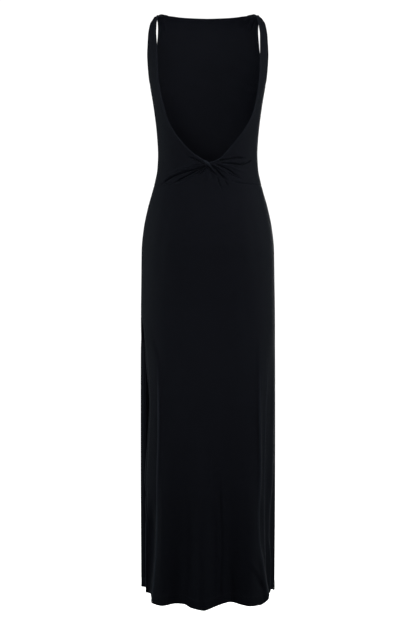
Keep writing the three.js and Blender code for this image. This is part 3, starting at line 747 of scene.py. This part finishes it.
def node(tree, kind, settings=None, links=None):
    """Adds a node with its settings (sockets by name or number, the rest as properties) and its links, each
    from a socket or from a node's first output."""
    made = tree.nodes.new(kind)
    for key, value in (settings or {}).items():
        if isinstance(key, int) or key in made.inputs:
            made.inputs[key].default_value = value
        else:
            setattr(made, key, value)
    for key, source in (links or {}).items():
        tree.links.new(source.outputs[0] if isinstance(source, bpy.types.Node) else source, made.inputs[key])
    return made


# The knit's columns of loops are 0.7 mm apart and its rows 0.55 mm. Both are drawn twice as coarse, so that
# they show in the render. The loops slant between columns, and have less relief than the columns.
WALE = 0.0014
COURSE = 0.0011
LOOP_SLANT = 1.3
LOOP_SHARE = 0.4

# Streaks of the yarn, 11 mm by 2.4 mm, and broad shades of the dye, 110 mm: how many to a metre, and what
# share of the colour each has
STREAKS = (90, 420, 1)
STREAK_SHARE = 0.7
SHADES = 9
SHADE_SHARE = 0.3

# Roughness of the knit and of the studio paper, and by how much it varies
JERSEY_ROUGH, JERSEY_VARIES = 0.66, 0.12
PAPER_ROUGH, PAPER_VARIES = 0.86, 0.08


def viscose_jersey(name, dark, light, painted_highlight):
    """Single jersey knitted from viscose and dyed black: matt, with a faint soft shine where it turns away
    from the eye, fine upright columns of loops, faint streaks along the courses, and a painted highlight on
    edges, creases and the twist's roll."""
    material = bpy.data.materials.new(name)
    material.use_nodes = True
    tree = material.node_tree
    tree.nodes.clear()
    coordinates = node(tree, "ShaderNodeTexCoord")
    parts = node(tree, "ShaderNodeSeparateXYZ", links={0: coordinates.outputs["UV"]})
    across = node(tree, "ShaderNodeMath", {"operation": "DIVIDE", 1: WALE}, {0: parts.outputs[0]})
    column = node(tree, "ShaderNodeMath", {"operation": "PINGPONG", 1: 0.5}, {0: across})
    slant = node(tree, "ShaderNodeMath", {"operation": "MULTIPLY", 1: LOOP_SLANT}, {0: column})
    down = node(tree, "ShaderNodeMath", {"operation": "DIVIDE", 1: COURSE}, {0: parts.outputs[1]})
    waves = []
    for turns in (node(tree, "ShaderNodeMath", {"operation": "ADD"}, {0: down, 1: slant}), column):
        angle = node(tree, "ShaderNodeMath", {"operation": "MULTIPLY", 1: 2 * math.pi}, {0: turns})
        waves.append(node(tree, "ShaderNodeMath", {"operation": "SINE"}, {0: angle}))
    loops, legs = waves
    low_loops = node(tree, "ShaderNodeMath", {"operation": "MULTIPLY", 1: LOOP_SHARE}, {0: loops})
    knit = node(tree, "ShaderNodeMath", {"operation": "ADD"}, {0: low_loops, 1: legs})
    streaks = node(tree, "ShaderNodeMapping", {"Scale": STREAKS}, {"Vector": coordinates.outputs["UV"]})
    fine = node(tree, "ShaderNodeTexNoise", {"Scale": 1, "Detail": 3}, {"Vector": streaks})
    broad = node(
        tree, "ShaderNodeTexNoise", {"Scale": SHADES, "Detail": 2}, {"Vector": coordinates.outputs["Object"]}
    )
    fine_part = node(tree, "ShaderNodeMath", {"operation": "MULTIPLY", 1: STREAK_SHARE}, {0: fine})
    broad_part = node(tree, "ShaderNodeMath", {"operation": "MULTIPLY", 1: SHADE_SHARE}, {0: broad})
    shade = node(tree, "ShaderNodeMath", {"operation": "ADD"}, {0: fine_part, 1: broad_part})
    colour = node(tree, "ShaderNodeMix", {"data_type": "RGBA", 6: srgb(dark), 7: srgb(light)}, {0: shade})
    # The edge attribute is a mask of painted highlight: where it is high, the lighter colour stands in for
    # the light that rims, creases and the roll catch
    near = node(tree, "ShaderNodeAttribute", {"attribute_name": "edge"})
    rubbed = node(
        tree, "ShaderNodeMix", {"data_type": "RGBA", 7: srgb(painted_highlight)},
        {0: near.outputs["Fac"], 6: colour.outputs[2]},
    )
    uneven = node(tree, "ShaderNodeMath", {"operation": "MULTIPLY", 1: JERSEY_VARIES}, {0: fine})
    rough = node(tree, "ShaderNodeMath", {"operation": "ADD", 1: JERSEY_ROUGH}, {0: uneven})
    relief = node(tree, "ShaderNodeBump", {"Strength": 0.25, "Distance": 0.00025}, {"Height": knit})
    shader = node(
        tree, "ShaderNodeBsdfPrincipled",
        {
            "IOR": 1.5, "Specular IOR Level": 0.05, "Sheen Weight": 0.03, "Sheen Roughness": 0.35,
            "Sheen Tint": srgb("#DCE6F2"),
        },
        {"Base Color": rubbed.outputs[2], "Roughness": rough, "Normal": relief},
    )
    node(tree, "ShaderNodeOutputMaterial", links={"Surface": shader})
    return material


def plain_paint(name, colour, glow):
    """Matt white studio paper with a fine grain, which glows so that it shows no shade of its own."""
    material = bpy.data.materials.new(name)
    material.use_nodes = True
    tree = material.node_tree
    tree.nodes.clear()
    grain = node(tree, "ShaderNodeTexNoise", {"Scale": 60, "Detail": 2})
    uneven = node(tree, "ShaderNodeMath", {"operation": "MULTIPLY", 1: PAPER_VARIES}, {0: grain})
    rough = node(tree, "ShaderNodeMath", {"operation": "ADD", 1: PAPER_ROUGH}, {0: uneven})
    shader = node(
        tree, "ShaderNodeBsdfPrincipled",
        {"Base Color": srgb(colour), "Emission Color": srgb(colour), "Emission Strength": glow},
        {"Roughness": rough},
    )
    node(tree, "ShaderNodeOutputMaterial", links={"Surface": shader})
    return material


# The last colour of each is the painted highlight that the edge attribute mixes in on edges, creases and the
# twist's roll. The thread is dyed like the cloth and spun as softly, and catches slightly more light on its
# stitches
jersey = viscose_jersey("viscose_jersey", "#0A0B10", "#101219", "#20232A")
thread = viscose_jersey("sewing_thread", "#101215", "#16191D", "#1B1F24")


# Front panel
def front_panel_points():
    """Rows of the ring in front of the side seams, or between the armholes, from the neckline's own line down
    to the hem's."""
    rows = spaced(FRONT_ROWS)
    left, right = (
        np.where(rows < UNDERARM_DROP, turn_at(rows, read(FRONT_ARMHOLE, column, rows)), 0)
        for column in (1, 2)
    )
    turns = even_turns(rows, right - math.pi, -left, crowd_ends(*FRONT_COLUMNS))
    away = np.abs(ring(rows[:, None], turns)[..., 0])
    rows = rows[:, None]
    neck = read(NECKLINE, 1, away)
    hem = (FRONT_HEM_DROP - SIDE_HEM_DROP) * ease((rows - FRONT_HEM_FROM) / FRONT_HEM_OVER) * np.sin(-turns)
    drop = rows + neck * (1 - ease(rows / NECK_OVER)) + hem
    points = ring(drop, turns)
    points[..., 1] = np.minimum(points[..., 1], -SEAM_GAP / 2)
    grown = ease((drop - FLUTE_TOP_DROP) / (SIDE_HEM_DROP - FLUTE_TOP_DROP))
    for x, half, out in FRONT_FLUTES:
        share = bump((points[..., 0] - x) / half) * grown
        points[..., 1] -= out * share
        points[..., 2] -= FLUTE_SAG * abs(out) * share * grown
    corner = ease((drop - CORNER_DROP) / CORNER_OVER)
    pushed = bump((points[..., 0] - CORNER_PUSH_AT) / CORNER_PUSH_HALF) * corner
    points[..., 2] += CORNER_LIFT * ease((points[..., 0] - CORNER_LIFT_FROM) / CORNER_LIFT_OVER) * corner
    points[..., 1] -= CORNER_PUSH * pushed
    open_side = ease((rows - SLIT_DROP) / FLARE_OVER)
    to_slit = from_edge(points, "last")
    points[..., 0] -= read(SLIT_FLARE, 1, to_slit) * open_side
    points[..., 1] += read(SLIT_FLARE, 2, to_slit) * open_side
    heights = fold_heights(points[..., 0], drop, FRONT_FOLDS)
    below_arm = ease((rows - UNDERARM_DROP + ARM_BLEND / 2) / ARM_BLEND)
    slit = ease((rows - SLIT_DROP) / SLIT_START)
    for side in ("first", "last"):
        distance = from_edge(points, side)
        arm = turned_edge(distance, EDGE_TURN, ARM_STAND) * (1 - below_arm)
        heights += arm + seam_edge(distance) * below_arm * (1 - slit if side == "last" else 1)
    top, bottom = from_edge(points, "top"), from_edge(points, "bottom")
    heights += turned_edge(to_slit, SLIT_TURN, HEM_STAND) * slit
    heights += turned_edge(top, EDGE_TURN, ARM_STAND)
    heights += turned_edge(bottom, HEM_TURN, HEM_STAND)
    # Painted highlight: the turned edges and the hem are painted lighter, standing in for the light that
    # their rims catch
    painted_highlight = bell(top / EDGE_HIGHLIGHT_WIDTH) + bell(bottom / HEM_HIGHLIGHT_WIDTH) * HEM_HIGHLIGHT
    for side in ("first", "last"):
        painted_highlight += bell(from_edge(points, side) / EDGE_HIGHLIGHT_WIDTH) * (1 - below_arm)
    return widened(points + grid_normals(points) * heights[..., None]), np.clip(painted_highlight, 0, 1)


# Back halves
def half_ends(side):
    """For rows from the strap's front seam to the twist, the drop, reach and turn of the open edge and of
    the outer edge."""
    strap = np.array(STRAP)
    if side < 0:
        strap[:, 0] -= RIGHT_STRAP_IN
    opens = [ring_place(strap[:, 0], strap[:, 1], strap[:, 2])]
    outs = [ring_place(strap[:, 3], strap[:, 4], strap[:, 5])]
    column = 1 if side > 0 else 2
    for table, along_seam in ((SIDE_ROWS, False), (SEAM_ROWS, True)):
        open_drop, far = np.array(table, float).T
        open_turn = turn_at(open_drop, read(OPEN_BACK, column, open_drop))
        opens.append(np.stack([open_drop, np.ones_like(open_drop), open_turn], -1))
        if along_seam:
            turned = far + side * LEAN * ease((far - 60) / 30)
            drop = read(WAIST_SEAM, 1, np.minimum(turned, 180 - turned)) - SEAM_GAP / 2
            turn = np.radians(turned)
            outs.append(np.stack([drop, np.ones_like(drop), turn], -1))
            continue
        place = np.stack([far, np.ones_like(far), np.zeros_like(far)], -1)
        arm = far < UNDERARM_DROP
        place[arm] = ring_place(read(BACK_ARMHOLE, 1, far[arm]), read(BACK_ARMHOLE, 2, far[arm]), far[arm])
        outs.append(place)
    return np.concatenate(opens), np.concatenate(outs)


def half_points(side, rows=300, cols=150):
    """Each row runs straight, in drop, reach and turn, from the open edge to the outer edge. The folds of
    the twist and the rolled open edge stand on it."""
    opens, outs = half_ends(side)
    index = np.arange(len(opens))
    middle = (ring(opens[:, 0], opens[:, 2]) + ring(outs[:, 0], outs[:, 2])) / 2
    crowd = np.where(index[1:] < len(STRAP) + len(SIDE_ROWS) - 1, ROWS_ABOVE, ROWS_AT_TWIST)
    steps = np.linalg.norm(np.diff(middle, axis=0), axis=1) + LEAST_STEP
    run = np.concatenate([[0], np.cumsum(steps * crowd)])
    at = np.interp(np.linspace(0, run[-1], rows), run, index)
    numbered = [np.column_stack([index, ends]) for ends in (opens, outs)]
    ends = [np.stack([read(table, k, at) for k in (1, 2, 3)], -1) for table in numbered]
    t = np.linspace(0, 1, cols)[None, :, None]
    drop, reach, turn = np.moveaxis(mix(ends[0][:, None, :], ends[1][:, None, :], t), -1, 0)
    points = ring(drop, turn)
    points[..., 0] *= side * reach
    points[..., 1] *= reach
    below_arm = drop > UNDERARM_DROP - 1
    points[..., 1] = np.where(below_arm, np.maximum(points[..., 1], SEAM_GAP / 2), points[..., 1])
    if side < 0:
        points = points[:, ::-1]
        drop = drop[:, ::-1]
    open_side, out_side = ("first", "last") if side > 0 else ("last", "first")
    heights = fold_heights(points[..., 0], drop, TWIST_FOLDS)
    heights *= ease((drop - TWIST_FOLDS_DROP) / TWIST_FOLDS_OVER)
    inner = from_edge(points, open_side)
    outer = from_edge(points, out_side)
    edge_line = points[:, 0] if side > 0 else points[:, -1]
    to_knot = np.linalg.norm(edge_line - edge_line[-1], axis=-1)[:, None]
    rolled = 1 - ease(to_knot / ROLLED_LENGTH)
    turn_width, stand, rubbed, rubbed_width = (mix(*ends, rolled) for ends in zip(OPEN_EDGE, ROLLED_EDGE))
    heights += turned_edge(inner, turn_width, stand)
    arm = 1 - ease((at[:, None] - ARM_END_ROW) / ARM_END_OVER)
    heights += turned_edge(outer, EDGE_TURN, ARM_STAND) * arm
    heights += seam_edge(outer) * (1 - arm) * beside_twist(points)
    heights += seam_edge(from_edge(points, "top"))
    # Painted highlight: the open edge, lightest where it rolls at the twist, and the arm edge are painted
    # lighter for the light their rims catch
    painted_highlight = rubbed * bell(inner / rubbed_width) + ARM_HIGHLIGHT * bell(outer / ARM_HIGHLIGHT_WIDTH) * arm
    return widened(points + grid_normals(points) * heights[..., None]), np.clip(painted_highlight, 0, 1)


# Back skirt
def side_sections(drops, back_x, back_y):
    """For each drop, the points that a level section of the skirt below the slit's top goes through: the slit
    edge, its swell and valley, the left ridge, the back, the right ridges and valleys, and the seam."""
    left = (SLIT_EDGE, SLIT_SWELL, SLIT_VALLEY, LEFT_RIDGE)
    right = (RIGHT_RIDGE, RIGHT_HOLLOW, RIGHT_SOFT_RIDGE, RIGHT_VALLEY, RIGHT_INNER_RIDGE, RIGHT_PINCH)
    left, right = (
        [np.stack([side * read(table, 1, drops), read(table, 2, drops)], -1)[:, None, :] for table in tables]
        for side, tables in ((1, left), (-1, right))
    )
    seam = np.stack([-read(LEVELS, HALF, drops), np.full(len(drops), SEAM_GAP / 2)], -1)[:, None, :]
    back = np.stack([back_x, back_y], -1)
    return np.concatenate(left + [back] + right + [seam], 1)


def even_section(controls, shares):
    """Points at shares of the length of a cubic through each row of control points."""
    made = []
    for row, at_row in zip(controls, shares):
        run = run_along(row)
        dense = np.linspace(0, run[-1], SECTION_STEPS)
        curve = np.stack([read(np.column_stack([run, row]), k, dense) for k in (1, 2)], -1)
        length = run_along(curve)
        at = at_row * length[-1]
        made.append(np.stack([np.interp(at, length, curve[:, k]) for k in (0, 1)], -1))
    return np.array(made)


def back_skirt_points():
    """Rows of the ring behind the side seams, from the waist seam down. Below the slit's top the rows turn
    into drawn sections, and the hem follows its own line."""
    levels = spaced(SKIRT_ROWS)
    drops = WAIST_SEAM_DROP + levels
    at_waist, at_slit = shares_between(*WAIST_COLUMNS), shares_between(*SLIT_COLUMNS)
    shares = mix(at_waist, at_slit, ease((levels[:, None] - COLUMNS_FROM) / COLUMNS_OVER))
    turns = even_turns(drops, np.zeros(len(drops)), np.full(len(drops), math.pi), shares)
    degrees = np.degrees(np.minimum(turns, math.pi - turns))
    top = read(WAIST_SEAM, 1, degrees) + SEAM_GAP / 2
    drop = mix(top, WAIST_SEAM_DROP, ease(levels[:, None] / WAIST_SEAM_OVER)) + levels[:, None]
    points = ring(drop, turns)
    points[..., 1] = np.maximum(points[..., 1], SEAM_GAP / 2)

    low = levels > SLIT_DROP - WAIST_SEAM_DROP - 1
    low_drops = drops[low]
    span = np.linspace(*BACK_SPAN)[None, :]
    back_x = mix(read(LEFT_RIDGE, 1, low_drops)[:, None], -read(RIGHT_RIDGE, 1, low_drops)[:, None], span)
    half = read(LEVELS, HALF, low_drops)[:, None]
    square = read(LEVELS, SQUARE, low_drops)[:, None]
    back_y = read(LEVELS, BACK, low_drops)[:, None] * (1 - (np.abs(back_x) / half) ** square) ** (1 / square)
    grown = ease((low_drops[:, None] - FLUTE_TOP_DROP) / (SIDE_HEM_DROP - FLUTE_TOP_DROP))
    for x, wide, out in BACK_FLUTES:
        back_y = back_y + out * bump((back_x - x) / wide) * grown
    section = even_section(side_sections(low_drops, back_x, back_y), shares[low])
    blend = ease((low_drops - SLIT_DROP) / SECTION_OVER)[:, None, None]
    points[low, :, :2] = mix(points[low, :, :2], section, blend)
    weight = np.where(low_drops[:, None] > SLIT_DROP, 1 - ease(shares[low] / SLIT_EDGE_SHARE), 0)
    for k in (0, 1):
        points[low, :, k] += weight * (read(SLIT_EDGE, k + 1, low_drops)[:, None] - points[low, :1, k])

    hem = read(BACK_HEM, 1, points[-1:, :, 0]) - SIDE_HEM_DROP
    drop = drop + hem * ease((drops[:, None] - BACK_HEM_FROM) / (SIDE_HEM_DROP - BACK_HEM_FROM))
    points[..., 2] = WALL - drop
    heights = fold_heights(points[..., 0], drop, TWIST_FOLDS, SKIRT_LEAST_WIDTH)
    heights *= 1 - ease((levels[:, None] - TWIST_FADE_FROM) / TWIST_FADE_OVER)
    behind = ease((points[..., 1] - SKIRT_FOLDS_FROM) / SKIRT_FOLDS_OVER)
    heights += fold_heights(points[..., 0], drop, SKIRT_FOLDS) * behind
    creases, crease_highlight = [(LEFT_CREASE, LEFT_RIDGE, 1)], np.zeros_like(drop)
    creases += [(c, t, -1) for c, t in zip(RIGHT_CREASES, (RIGHT_RIDGE, RIGHT_SOFT_RIDGE, RIGHT_INNER_RIDGE))]
    for (height, wide), table, way in creases:
        gap = (points[..., 0] - way * read(table, 1, drop)) / wide
        near = points[..., 1] > read(table, 2, drop) - CREASE_BEFORE
        crease = bell(gap) * ease((drop - CREASE_DROP) / CREASE_OVER) * near
        heights += height * crease
        # Painted highlight along the crisp folds, lighter as if light caught their crests
        crease_highlight += CREASE_HIGHLIGHT * height * crease
    slit = ease((drops[:, None] - SLIT_DROP) / SLIT_START)
    first, last, top, bottom = (from_edge(points, edge) for edge in ("first", "last", "top", "bottom"))
    slit_edge = turned_edge(first, SLIT_TURN, SLIT_STAND)
    waist_seam = WAIST_SEAM_SHARE * seam_edge(top) * beside_twist(points)
    heights += seam_edge(first) * (1 - slit) + slit_edge * slit + seam_edge(last)
    heights += turned_edge(bottom, HEM_TURN, HEM_STAND) + waist_seam
    # Painted highlight: the slit edge and the hem are painted lighter for the light their rims catch, and the
    # creases along their crests
    painted_highlight = bell(first / EDGE_HIGHLIGHT_WIDTH) * slit + bell(bottom / HEM_HIGHLIGHT_WIDTH) * HEM_HIGHLIGHT + crease_highlight
    return widened(points + grid_normals(points) * heights[..., None]), np.clip(painted_highlight, 0, 1)


# Twist
def twist_roll(name, material):
    """A flattened roll along its course: each ring is an ellipse, less a bell for each groove that winds
    round it."""
    table = np.array(TWIST)
    run = run_along(table[:, :2])
    numbered = np.column_stack([run, table])
    at = np.linspace(0, run[-1], ROLL_RINGS)
    x, drop, lift, wide, thick, rubbed = (read(numbered, k, at) for k in range(1, 7))
    centre = ring(drop, turn_at(drop, x))
    centre[:, 1] += lift
    along = np.gradient(centre, axis=0)
    along /= np.linalg.norm(along, axis=1, keepdims=True)
    out = np.array([0, 1, 0]) - along * along[:, 1:2]
    out /= np.linalg.norm(out, axis=1, keepdims=True)
    across = np.cross(out, along)
    angle = np.linspace(0, 2 * np.pi, ROLL_SIDES, endpoint=False)[None, :]
    groove = 1
    for depth, start, width in GROOVES:
        groove = groove - depth * bell(np.sin(angle / 2 - at[:, None] / GROOVE_PITCH + start) / width)
    points = (
        centre[:, None, :]
        + across[:, None, :] * (wide[:, None] / 2 * np.cos(angle) * groove)[..., None]
        + out[:, None, :] * (thick[:, None] / 2 * np.sin(angle) * groove)[..., None]
    )
    last = (ROLL_RINGS - 1) * ROLL_SIDES
    faces = grid_faces(ROLL_RINGS, ROLL_SIDES, around=True).tolist()
    faces += [list(range(ROLL_SIDES)), list(range(last + ROLL_SIDES - 1, last - 1, -1))]
    uv = np.stack(np.broadcast_arrays(angle / (2 * np.pi) * ROLL_GIRTH, at[:, None] / 1000), -1)
    # The roll's painted highlight, strongest at the knot, goes into its edge attribute
    return new_object(name, points, faces, material, uv, np.repeat(rubbed, ROLL_SIDES))


front_grid, front_highlight = front_panel_points()
left_grid, left_highlight = half_points(1)
right_grid, right_highlight = half_points(-1)
skirt_grid, skirt_highlight = back_skirt_points()
front = cloth("front_panel_cloth", front_grid, jersey, front_highlight)
left = cloth("back_half_left_cloth", left_grid, jersey, left_highlight)
right = cloth("back_half_right_cloth", right_grid, jersey, right_highlight)
skirt = cloth("back_skirt_cloth", skirt_grid, jersey, skirt_highlight)
twist = twist_roll("back_twist_roll", jersey)

left_seam = seam_allowance("left_side_seam_allowance", 1, UNDERARM_DROP + 3, SLIT_DROP - 2, jersey)
right_seam = seam_allowance("right_side_seam_allowance", -1, UNDERARM_DROP + 3, SIDE_HEM_DROP - 10, jersey)

# Turned edges and their stitches: for each, the edge, how wide, and between which drops
ARM = (-10, UNDERARM_DROP - 2)
SLIT = (SLIT_DROP + 6, 1500)
OPEN = (-10, 366)
for_front = [("top", EDGE_TURN, None), ("first", EDGE_TURN, ARM), ("last", EDGE_TURN, ARM)]
for_front += [("last", SLIT_TURN, SLIT), ("bottom", HEM_TURN, None)]
for_left = [("first", EDGE_TURN, OPEN), ("last", EDGE_TURN, ARM)]
for_right = [("last", EDGE_TURN, OPEN), ("first", EDGE_TURN, ARM)]
for_skirt = [("first", SLIT_TURN, SLIT), ("bottom", HEM_TURN, None)]
edge_pieces = {}
for piece, grid, edges in (
    (front, front_grid, for_front), (left, left_grid, for_left), (right, right_grid, for_right),
    (skirt, skirt_grid, for_skirt),
):
    rows = [(edge, width - ROW_IN, keep) for edge, width, keep in edges]
    rows += [(edge, width - SECOND_ROW_IN, keep) for edge, width, keep in edges if edge == "bottom"]
    base = piece.name.replace("_cloth", "")
    edge_pieces[piece.name] = [
        turned_under(base + "_turned_edges", grid, edges, jersey),
        stitches(base + "_stitches", grid, rows, thread),
    ]

# Camera
camera_data = bpy.data.cameras.new("camera")
camera_data.sensor_width = SENSOR
camera_data.lens = SENSOR * EYE_DISTANCE / VIEW_HEIGHT
camera = bpy.data.objects.new("camera", camera_data)
camera.location = (EYE_X / 1000, EYE_DISTANCE / 1000, (WALL - EYE_DROP) / 1000)
camera.rotation_euler = (math.radians(90), 0, math.radians(180))
bpy.context.scene.collection.objects.link(camera)
bpy.context.scene.camera = camera

# Floor and light
bpy.context.scene.view_settings.view_transform = "Standard"
FLOOR = -1.53
FLOOR_REACH = 14.0
PAPER = "#FFFFFF"
PAPER_GLOW = 1.1
floor_mesh = bpy.data.meshes.new("floor")
corners = [(x * FLOOR_REACH, y * FLOOR_REACH, FLOOR) for x, y in ((-1, -1), (1, -1), (1, 1), (-1, 1))]
floor_mesh.from_pydata(corners, [], [(0, 1, 2, 3)])
floor_mesh.materials.append(plain_paint("studio_paper", PAPER, PAPER_GLOW))
floor = bpy.data.objects.new("floor", floor_mesh)
floor.visible_diffuse = False
floor.visible_glossy = False
bpy.context.scene.collection.objects.link(floor)

world = bpy.data.worlds.new("studio")
world.use_nodes = True
bpy.context.scene.world = world
sky = world.node_tree
sky.nodes.clear()
where = node(sky, "ShaderNodeTexCoord")
height = node(sky, "ShaderNodeSeparateXYZ", links={0: where.outputs["Generated"]})
lift = node(
    sky, "ShaderNodeMapRange", {"From Min": -0.6, "From Max": 0.9, "To Min": 0.01, "To Max": 0.05},
    {"Value": height.outputs[2]},
)
soft = node(sky, "ShaderNodeBackground", {"Color": srgb("#F2F6FF")}, {"Strength": lift})
paper = node(sky, "ShaderNodeBackground", {"Color": srgb(PAPER), "Strength": PAPER_GLOW})
path = node(sky, "ShaderNodeLightPath")
seen = node(sky, "ShaderNodeMixShader", links={0: path.outputs["Is Camera Ray"], 1: soft, 2: paper})
node(sky, "ShaderNodeOutputWorld", links={"Surface": seen})


def softbox(name, place, aim, size, power, colour="#FFFFFF", spread=180):
    """A rectangular soft light at a place, in metres, turned to a point that it aims at."""
    data = bpy.data.lights.new(name, "AREA")
    data.shape = "RECTANGLE"
    data.size, data.size_y = size
    data.energy = power
    data.spread = math.radians(spread)
    data.color = srgb(colour)[:3]
    light = bpy.data.objects.new(name, data)
    light.location = place
    light.rotation_euler = (Vector(aim) - Vector(place)).to_track_quat("-Z", "Y").to_euler()
    light.visible_camera = False
    bpy.context.scene.collection.objects.link(light)


COOL = "#F1FDFA"
softbox("left_behind", (1.2, 1.3, 0.3), (0, 0, -0.2), (0.8, 1.0), 2.8)
softbox("right_behind", (-1.2, 1.3, 0.3), (0, 0, -0.2), (0.8, 1.0), 2.5)
softbox("low_left", (1.3, 0.45, -0.75), (0.1, 0, -0.75), (0.5, 0.5), 2.2, COOL)
softbox("low_right", (-1.3, 0.5, -0.75), (-0.1, 0, -0.75), (0.5, 0.5), 0.7, COOL)
softbox("under_shoulders", (0, 1.9, -0.6), (0, 0, 0.1), (1.4, 0.3), 1.25, spread=40)
softbox("thigh_behind", (0.1, 1.6, -0.8), (0, 0, -0.8), (1.2, 0.3), 0.5, spread=45)
softbox("overhead", (0, 0.5, 1.5), (0, 0, 0), (1.2, 1.0), 9)
softbox("low_behind", (0.5, 2.5, -0.1), (0, 0, -0.3), (1.2, 1.2), 16.5)
softbox("left", (2.5, 0.67, -0.4), (0, 0, -0.55), (1.0, 1.2), 11.5, COOL)
softbox("right", (-2.5, 0.67, -0.35), (0, 0, -0.55), (1.0, 1.2), 12.3, COOL)
softbox("left_before", (1.9, -0.5, -0.3), (0, 0, -0.5), (0.9, 1.4), 12, COOL)
softbox("right_before", (-1.9, -0.5, -0.3), (0, 0, -0.5), (0.9, 1.4), 9, COOL)
softbox("right_shoulder", (-1.7, 0.6, 0.3), (0, 0, -0.3), (0.7, 1.2), 13)
softbox("high_before", (0, -1.9, 0.5), (0, 0, -0.3), (1.4, 1.0), 18)
softbox("low_before", (-0.9, -2.5, -0.4), (0, 0, -0.6), (1.2, 1.2), 20)

# What each piece is in the frame
for piece, name in (
    (front, "front_panel"), (left, "back_half_left"), (right, "back_half_right"), (skirt, "back_skirt"),
    (twist, "back_twist"),
):
    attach(piece, "root")
    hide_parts(name)

edge_pieces[front.name] += [left_seam, right_seam]
for pieces in edge_pieces.values():
    for piece in pieces:
        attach(piece, "root")
